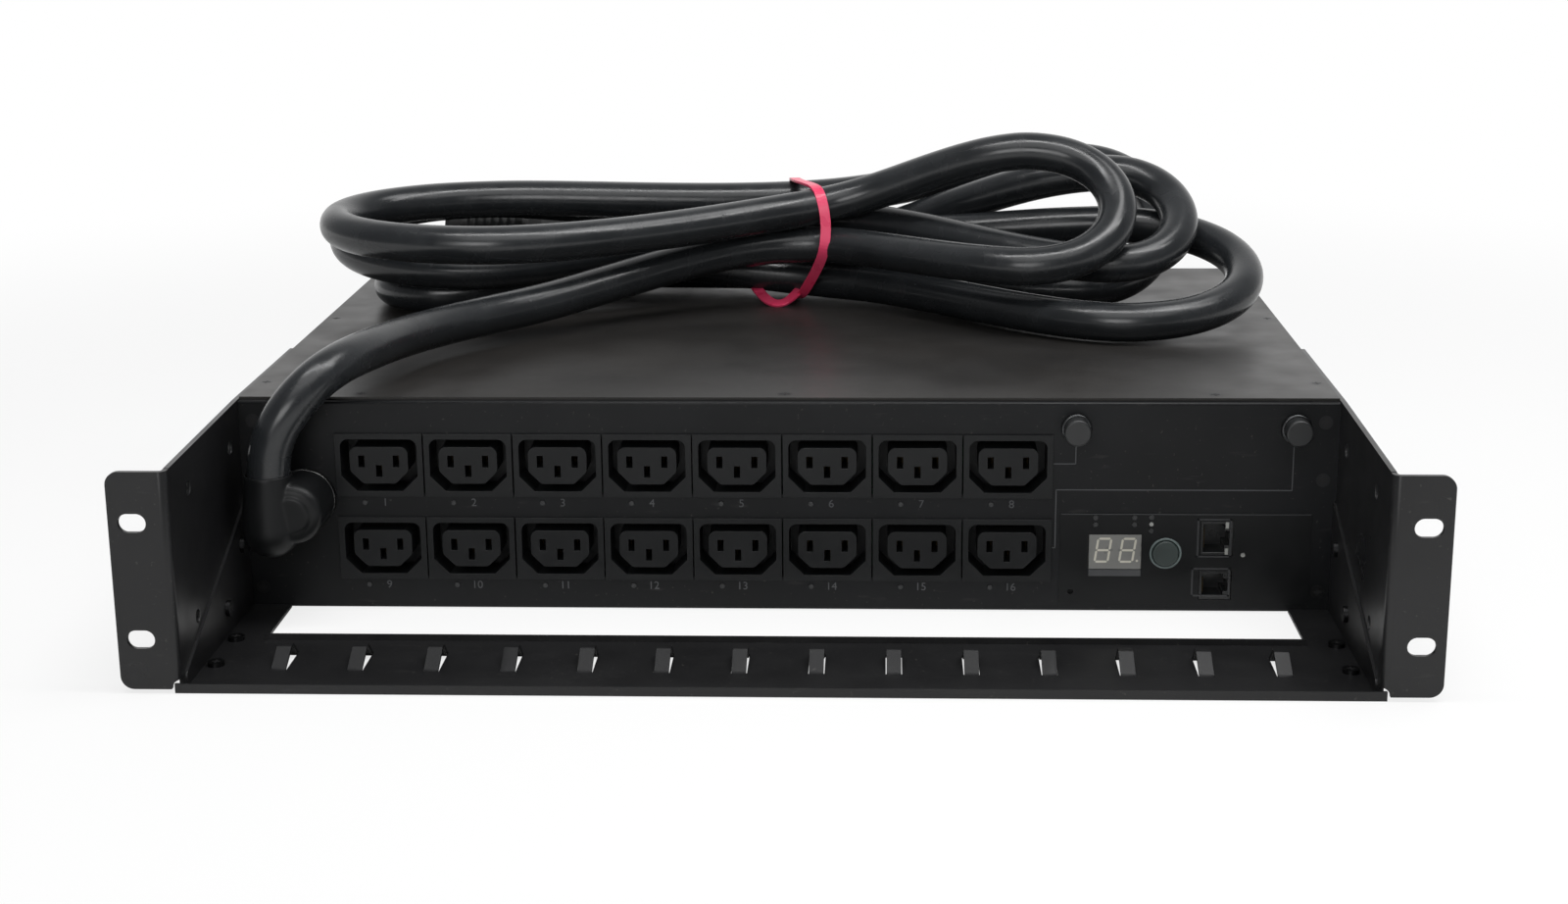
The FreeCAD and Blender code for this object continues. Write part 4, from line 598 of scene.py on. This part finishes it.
# The cord entry
# A right-angle strain relief moulded in one piece of dull black rubber, its corners flowing into each other,
# held to the panel by a plated ring and a locknut, which show as a thin grey rim.
ENTRY_VOXEL = 0.5 * MM
ENTRY_EASE = 0.5            # how far each round of smoothing moves a point
ENTRY_ROUNDS = 12
NUT_EDGE = 0.4 * MM
elbow = bpy.data.objects.new("entry_elbow", nodes["cord_elbow"].data.copy())
bpy.context.scene.collection.objects.link(elbow)
elbow.data.materials.clear()
rubber = moulding("strain relief rubber", "#101112", "#161718", roughness=0.4, grain=0.6 * MM,
                  depth=0.006 * MM, gleam=0.25)
elbow.data.materials.append(rubber)
elbow.modifiers.new("welded", "WELD").merge_threshold = WELD
flow = elbow.modifiers.new("one moulding", "REMESH")
flow.mode = "VOXEL"
flow.voxel_size = ENTRY_VOXEL
flow.use_smooth_shade = True
soften = elbow.modifiers.new("softened", "SMOOTH")
soften.factor = ENTRY_EASE
soften.iterations = ENTRY_ROUNDS
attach(elbow, "unit")
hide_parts("cord_elbow")
coat(metal("plated entry ring", "#4a4a4a", "#6a6a69", roughness=0.3, lay=(0.4, 2, 0.4)), "elbow_nuts")
round_edges(NUT_EDGE, "elbow_nuts")

# The supply cord
# Three cores in one extruded PVC jacket, 17 mm thick, black with a soft sheen.  It climbs out of the elbow,
# lies over the cover, runs to and fro in seven bends through one tie, and ends in the plug behind them.
JACKET_R = 8.5 * MM
TIE_X = 10.0
# Points of the lead and of the tail, as (x, depth behind the panel's face, height).
LEAD = [(-203.1, -20.0, 53.5), (-203.1, -20.0, 67.0), (-199.2, -19.0, 79.3), (-192.2, -16.0, 89.8),
        (-184.5, -9.0, 97.5), (-177.8, 1.6, 101.5), (-171.5, 18.0, 102.6), (-165.0, 41.0, 102.0),
        (-155.0, 69.0, 100.9), (-137.0, 96.0, 100.8), (-112.0, 119.0, 102.4), (-84.0, 143.0, 107.0),
        (-54.0, 165.5, 112.4), (-22.0, 183.0, 116.6)]
TAIL = [(-18.0, 241.6, 102.6), (-38.0, 245.8, 101.4), (-59.0, 256.0, 102.2), (-80.0, 266.6, 105.0),
        (-100.0, 271.0, 106.6), (-118.0, 271.0, 106.6)]
# Where the strands pass the tie, in order, as (depth, height).
PASSES = np.array([(185.6, 117.4), (185.0, 135.3), (221.6, 133.8), (217.0, 97.9), (199.5, 97.9),
                   (219.5, 115.4), (204.8, 126.2), (241.5, 105.7)])
# Each bend's start and end as (depth, height), the x of its tip, and its length against half its width.
BENDS = [((116.0, 119.2), (166.9, 163.7), 144.7, 1.12), ((112.0, 129.5), (212.7, 135.1), -213.4, 1.42),
         ((258.0, 146.8), (180.7, 96.4), 172.0, 0.78), ((229.1, 96.7), (167.8, 96.6), -196.2, 0.99),
         ((103.5, 96.6), (194.3, 125.3), 203.3, 1.14), ((242.5, 129.7), (155.1, 109.7), -217.6, 1.40),
         ((138.1, 116.0), (198.6, 149.1), 175.1, 0.89)]
RAISED_BEND = 3             # the bend whose strand back lies over another
RAISE = np.array((14.0, 8.0))  # and how far it gives way, in depth and height
STRAND_POINTS = 5
BEND_POINTS = 7
CORD_STEPS = 7              # drawn steps between two points
JACKET_STEPS = 15           # which gives the jacket 34 sides


def strand(start, slope, end, turn_x, raise_by=0.0):
    """Points from the tie to a bend, on the cubic that leaves the tie along slope and reaches the bend level.
    With k from 0 to 1 along it, 16 k^2 (1 - k)^2 of raise_by is added, which is all of it at the middle."""
    k = np.arange(1, STRAND_POINTS + 1)[:, None] / (STRAND_POINTS + 1)
    run = turn_x - TIE_X
    across = start + (end - start) * k ** 2 * (3 - 2 * k) + slope * run * k * (1 - k) ** 2
    return np.hstack([TIE_X + run * k, across + raise_by * 16 * k ** 2 * (1 - k) ** 2])


def half_round(out, back, turn_x, reach):
    """Points of a bend: half an ellipse that stands reach out from the line between its two strands."""
    angle = np.linspace(0, math.pi, BEND_POINTS)[:, None]
    across = (out + back) / 2 - (back - out) / 2 * np.cos(angle)
    return np.hstack([turn_x + reach * np.sin(angle), across])


def cord_points():
    """The route's points: the lead, then for each bend its strand out, its half round and its strand back,
    then the tail.  At the tie each strand has the slope of the line between the bends at its two ends."""
    ends = [(LEAD[-1][0], np.array(LEAD[-1][1:]), np.array(LEAD[-1][1:]))]
    arcs = []
    for out, back, tip_x, stretch in BENDS:
        out, back = np.array(out), np.array(back)
        reach = math.copysign(np.linalg.norm(back - out) / 2 * stretch, tip_x - TIE_X)
        ends.append((tip_x - reach, out, back))
        arcs.append(half_round(out, back, tip_x - reach, reach))
    ends.append((TAIL[1][0], np.array(TAIL[1][1:]), np.array(TAIL[1][1:])))
    slopes = [(after[1] - before[2]) / (after[0] - before[0]) for before, after in zip(ends, ends[1:])]
    rows = [np.array(LEAD)]
    for index, arc in enumerate(arcs):
        turn_x, out, back = ends[index + 1]
        going = strand(PASSES[index], slopes[index], out, turn_x)
        coming = strand(PASSES[index + 1], slopes[index + 1], back, turn_x, RAISE * (index == RAISED_BEND))
        rows += [np.array([[TIE_X, *PASSES[index]]]), going, arc, coming[::-1]]
    rows += [np.array([[TIE_X, *PASSES[-1]]]), np.array(TAIL)]
    return np.vstack(rows)


def smooth_line(name, points, steps):
    """A curve along one open spline of third order, with the points as its control points."""
    made = bpy.data.curves.new(name, "CURVE")
    made.dimensions = "3D"
    spline = made.splines.new("NURBS")
    spline.points.add(len(points) - 1)
    spline.points.foreach_set("co", np.column_stack([points, np.ones(len(points))]).ravel())
    spline.order_u = 3
    spline.use_endpoint_u = True
    spline.resolution_u = steps
    return made


def points_along(curve):
    """The points that Blender draws along an object's curve while it has no thickness."""
    drawn = bpy.data.meshes.new_from_object(curve)
    points = np.empty(3 * len(drawn.vertices))
    drawn.vertices.foreach_get("co", points)
    bpy.data.meshes.remove(drawn)
    return points.reshape(-1, 3)


route = (cord_points() + (0.0, panel_face, 0.0)) * MM
line = smooth_line("supply_cord", route, CORD_STEPS)
cord = bpy.data.objects.new("supply_cord", line)
bpy.context.scene.collection.objects.link(cord)
strands = points_along(cord) / MM
line.bevel_depth = JACKET_R
line.bevel_resolution = JACKET_STEPS
line.use_fill_caps = True
# The grain here is the slow waves that the cores under the jacket give it.
line.materials.append(moulding("extruded PVC jacket", "#1e2022", "#26282a", roughness=0.25, grain=8 * MM,
                               depth=0.05 * MM))
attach(cord, "unit")
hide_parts("cord_lead", "cord_hank", "cord_tail")

# The plug
# A round plug moulded in dull rubber on the free end of the cord, with a ribbed grip and three curved blades,
# nickel-plated and bright.  It lies behind the bundle.
PLUG_LENGTH = 62.0
# Distances along the plug from the cord, and its radius at each.
PLUG_STATIONS = np.array([0.0, 1.5, 14.0, 20.0, 23.0, 60.0, 62.0])
PLUG_RADII = np.array([10.6, 11.5, 13.0, 17.6, 19.0, 19.0, 17.4])
PLUG_EDGE = 0.4 * MM
GRIP = (25.0, 53.0)
GRIP_RIBS = 7
GRIP_DEPTH = 0.9
PLUG_ROWS = 125
PLUG_SIDES = 64


def plug_surface():
    """Surface of revolution about the cord's end: the radius follows the stations, less a cosine for each
    rib of the grip."""
    run = np.linspace(0.0, PLUG_LENGTH, PLUG_ROWS)
    share = np.clip((run - GRIP[0]) / (GRIP[1] - GRIP[0]), 0.0, 1.0)
    radius = np.interp(run, PLUG_STATIONS, PLUG_RADII)
    radius -= GRIP_DEPTH * (1 - np.cos(2 * math.pi * GRIP_RIBS * share)) / 2
    angle = np.arange(PLUG_SIDES) * 2 * math.pi / PLUG_SIDES
    points = np.empty((PLUG_ROWS, PLUG_SIDES, 3))
    points[..., 0] = -run[:, None]
    points[..., 1] = radius[:, None] * np.cos(angle)
    points[..., 2] = radius[:, None] * np.sin(angle)
    grid = np.arange(PLUG_ROWS * PLUG_SIDES).reshape(PLUG_ROWS, PLUG_SIDES)
    beside = np.roll(grid, -1, axis=1)
    skin = np.stack([grid[:-1], grid[1:], beside[1:], beside[:-1]], axis=2).reshape(-1, 4)
    place = np.array(TAIL[-1]) + (0.0, panel_face, 0.0)
    return (points + place) * MM, [*skin, grid[0], grid[-1][::-1]]


plug = new_piece("plug", *plug_surface(), smooth=True)
bevelled(plug, PLUG_EDGE)
plug.data.materials.append(moulding("plug rubber", "#101111", "#151616", roughness=0.55, grain=0.8 * MM,
                                    depth=0.02 * MM, gleam=0.3))
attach(plug, "unit")
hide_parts("plug_body")
coat(metal("nickel-plated blade", "#a8a6a0", "#c9c7c0", roughness=0.25, lay=(4, 0.4, 0.4)), "plug_blades")

# The cable tie
# A strap of red nylon, moulded smooth and a little glossy, round all the strands.  It is pulled askew, with
# its head behind and its loose end curled forward on the cover.
STRAP_WIDTH = 4.8
STRAP_THICK = 1.2
STRAP_EDGE = 0.2 * MM
STRAP_STEPS = 144
STRAP_MIDDLE_X = 2.0
STRAP_LEAN = (6.0, 5.0)     # how far x leans once round, and twice round
STRAP_FRONT = -9.0          # where the lean is greatest, along the strap from its foremost point
STRAP_WINDOW = 3.0          # strands this near the tie carry it
STRAP_SLACK = 0.2
STRAP_ROUNDS = 3
STRAP_EASE = 7
# Points of the loose end, as (x, depth, height), and the way that its width lies.
LOOSE_END = [(-23.0, 207.0, 94.5), (-19.0, 196.0, 91.6), (-14.5, 187.5, 89.5), (-10.5, 185.0, 88.9),
             (-7.0, 186.0, 89.5), (-3.2, 189.5, 91.6), (1.0, 197.0, 95.0), (5.0, 205.0, 98.0)]
LOOSE_ASIDE = (0.25, 0.88, 0.40)
LOOSE_STEPS = 6
HEAD = (6.4, 5.6, 8.5)      # width, depth and height of the head


def ribbon(middle, outward, closed):
    """A strap: a rectangle carried along a line, its flat side square to the outward directions."""
    along = np.gradient(middle, axis=0)
    if closed:
        along = np.roll(middle, -1, axis=0) - np.roll(middle, 1, axis=0)
    aside = np.cross(along, outward)
    aside /= np.linalg.norm(aside, axis=1)[:, None]
    outward = np.cross(aside, along)
    outward /= np.linalg.norm(outward, axis=1)[:, None]
    wide = aside * STRAP_WIDTH / 2
    thick = outward * STRAP_THICK / 2
    rings = np.stack([middle - wide - thick, middle + wide - thick, middle + wide + thick,
                      middle - wide + thick], axis=1)
    grid = np.arange(len(middle) * 4).reshape(-1, 4)
    onward = np.roll(grid, -1, axis=0)
    beside = np.roll(grid, -1, axis=1)
    skin = np.stack([grid, onward, np.roll(onward, -1, axis=1), beside], axis=2)
    if closed:
        return rings.reshape(-1, 3), skin.reshape(-1, 4)
    return rings.reshape(-1, 3), np.vstack([skin[:-1].reshape(-1, 4), grid[:1], grid[-1:, ::-1]])


def eased(loop):
    """A closed line with each point at the mean of its neighbours."""
    reach = STRAP_EASE // 2
    return sum(np.roll(loop, shift, axis=0) for shift in range(-reach, reach + 1)) / STRAP_EASE


def strap_line():
    """Middle line of the strap and its outward directions.  At the tie it lies, in every direction, on the
    strand furthest that way.  In even steps round that loop, x leans by cosines of the distance gone and of
    twice that, and a point too near a strand is moved outward."""
    angle = np.arange(STRAP_STEPS) * 2 * math.pi / STRAP_STEPS
    away = np.column_stack([np.cos(angle), np.sin(angle)])
    reach = JACKET_R / MM + STRAP_THICK / 2 + STRAP_SLACK
    near = strands[np.abs(strands[:, 0] - TIE_X) < STRAP_WINDOW, 1:]
    loop = near[np.argmax(away @ near.T, axis=1)] + reach * away
    steps = np.linalg.norm(np.roll(loop, -1, axis=0) - loop, axis=1)
    gone = np.concatenate([[0.0], np.cumsum(steps)[:-1]])
    even = np.linspace(0.0, steps.sum(), STRAP_STEPS, endpoint=False)
    loop = np.column_stack([np.interp(even, gone, side, period=steps.sum()) for side in loop.T])
    turn = 2 * math.pi * (even - even[np.argmin(loop[:, 0])] - STRAP_FRONT) / steps.sum()
    x = STRAP_MIDDLE_X + STRAP_LEAN[0] * np.cos(turn) + STRAP_LEAN[1] * np.cos(2 * turn)
    middle = eased(np.column_stack([x, loop]))
    for _ in range(STRAP_ROUNDS):
        ahead = np.roll(middle, -1, axis=0) - np.roll(middle, 1, axis=0)
        outward = np.column_stack([np.zeros(STRAP_STEPS), ahead[:, 2], -ahead[:, 1]])
        outward /= np.linalg.norm(outward, axis=1)[:, None]
        gap = np.linalg.norm(middle[:, None] - strands, axis=2).min(axis=1)
        middle = eased(middle + outward * np.maximum(reach - gap, 0.0)[:, None])
    return middle, outward


def head_box(middle):
    """The strap's head: a block of HEAD's sizes, whose near face has a point of the strap at its middle."""
    signs = np.array([(-0.5, 0, -0.5), (0.5, 0, -0.5), (0.5, 1, -0.5), (-0.5, 1, -0.5),
                      (-0.5, 0, 0.5), (0.5, 0, 0.5), (0.5, 1, 0.5), (-0.5, 1, 0.5)])
    faces = [(0, 3, 2, 1), (4, 5, 6, 7), (0, 1, 5, 4), (1, 2, 6, 5), (2, 3, 7, 6), (3, 0, 4, 7)]
    return middle + signs * HEAD, np.array(faces)


strap_middle, strap_outward = strap_line()
curl = bpy.data.objects.new("loose_end", smooth_line("loose_end", np.array(LOOSE_END), LOOSE_STEPS))
loose = points_along(curl) + (0.0, panel_face, 0.0)
bpy.data.curves.remove(curl.data)
loose_outward = np.cross(np.broadcast_to(LOOSE_ASIDE, loose.shape), np.gradient(loose, axis=0))
parts = [ribbon(strap_middle, strap_outward, closed=True), ribbon(loose, loose_outward, closed=False),
         head_box(strap_middle[0])]
offsets = np.cumsum([0] + [len(points) for points, _ in parts])
tie = new_piece("cable_strap", np.vstack([points for points, _ in parts]) * MM,
                np.vstack([faces + offset for (_, faces), offset in zip(parts, offsets)]))
bevelled(tie, STRAP_EDGE)
tie.data.materials.append(moulding("red nylon", "#e63b63", "#ee4a72", roughness=0.3))
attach(tie, "unit")
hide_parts("cable_tie")

# The screws
# Steel blackened by oxide, dull and nearly as dark as the paint: countersunk on the cover and the panel, pan
# heads on the brackets and the tray.  Each has a cross recess, drawn as a dark cross on the head.
CROSS_ARM = 1.7
CROSS_HALF = 0.42
CROSS_DEPTH = 0.04
HALF_WIDTH = 219.0          # of the box
EAR_LEAD = 100.0            # how far the ears stand in front of the panel
EAR_FACE = panel_face - EAR_LEAD
TOP = 87.6                  # of the cover
COVER_SIDE_X = 214.4
COVER_SIDE_DEPTHS = (29.0, 158.0)
COVER_ROW_X = 171.0
COVER_ROW_DEPTHS = (9.0, 276.0)
EDGE_X = 213.4              # screws along the edges of the tray's floor and of the panel
FLOOR_DEPTHS = (27.0, 56.0)
FLOOR_HEAD = 2.8            # top of a head above the underside
PANEL_HEIGHTS = (8.5, 55.0, 78.5)
BRACKET_HEAD = 3.6          # top of a head out from the side of the box
BRACKET_DEPTHS = (43.0, 78.0)
BRACKET_HEIGHTS = (20.8, 71.0)
GUSSET_HEAD = 2.8           # and in from it
GUSSET_SEATS = ((62.0, 12.0), (88.0, 30.0))
SIDES = (-1, 1)


def crosses(seats, facing):
    """Crosses on screw heads: the twelve corners of a cross in the plane square to facing, carried a little
    to both sides of it and capped."""
    a, b = CROSS_HALF, CROSS_ARM
    flat = np.array([(-b, -a), (-a, -a), (-a, -b), (a, -b), (a, -a), (b, -a),
                     (b, a), (a, a), (a, b), (-a, b), (-a, a), (-b, a)])
    facing = np.asarray(facing, float)
    one = np.roll(facing, 1, axis=1)
    other = np.cross(facing, one)
    outline = np.asarray(seats)[:, None] + flat[:, :1] * one[:, None] + flat[:, 1:] * other[:, None]
    rise = CROSS_DEPTH * facing[:, None]
    rings = np.stack([outline + rise, outline - rise], axis=1)
    corners = len(flat)
    first = (np.arange(len(rings)) * 2 * corners)[:, None]
    top = first + np.arange(corners)
    following = first + (np.arange(corners) + 1) % corners
    walls = np.stack([top, top + corners, following + corners, following], axis=2).reshape(-1, 4)
    return rings * MM, [*top, *(top + corners)[:, ::-1], *walls]


raised = [(side * COVER_SIDE_X, panel_face + back, TOP) for side in SIDES for back in COVER_SIDE_DEPTHS]
raised += [(side * COVER_ROW_X, panel_face + back, TOP) for side in SIDES for back in COVER_ROW_DEPTHS]
raised += [(0.0, panel_face + COVER_ROW_DEPTHS[0], TOP)]
raised += [(side * EDGE_X, EAR_FACE + back, FLOOR_HEAD) for side in SIDES for back in FLOOR_DEPTHS]
fronted = [(side * EDGE_X, panel_face, height) for side in SIDES for height in PANEL_HEIGHTS]
seats = raised + fronted
facing = [(0, 0, 1)] * len(raised) + [(0, -1, 0)] * len(fronted)
for side in SIDES:
    outer = [(side * (HALF_WIDTH + BRACKET_HEAD), panel_face + back, height)
             for back in BRACKET_DEPTHS for height in BRACKET_HEIGHTS]
    inner = [(side * (HALF_WIDTH - GUSSET_HEAD), EAR_FACE + back, height) for back, height in GUSSET_SEATS]
    seats += outer + inner
    facing += [(side, 0, 0)] * len(outer) + [(-side, 0, 0)] * len(inner)
recesses = new_piece("screw_recesses", *crosses(seats, facing))
recesses.data.materials.append(moulding("shadow of a cross recess", "#0a0a0b", "#0f0f10", roughness=0.6))
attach(recesses, "unit")
# The cover's screws are a darker copy of the same steel: painted shade, so that they show as dark dots on the
# cover.
coat(metal("black-oxide steel darkened as painted shade", "#1c1c1d", "#2c2c2d", roughness=0.36, lay=(0.5, 0.5, 0.5)),
     "cover_screws")
coat(metal("black-oxide steel", "#2e2e2f", "#404041", roughness=0.36, lay=(0.5, 0.5, 0.5)),
     "panel_screws", "bracket_screws")
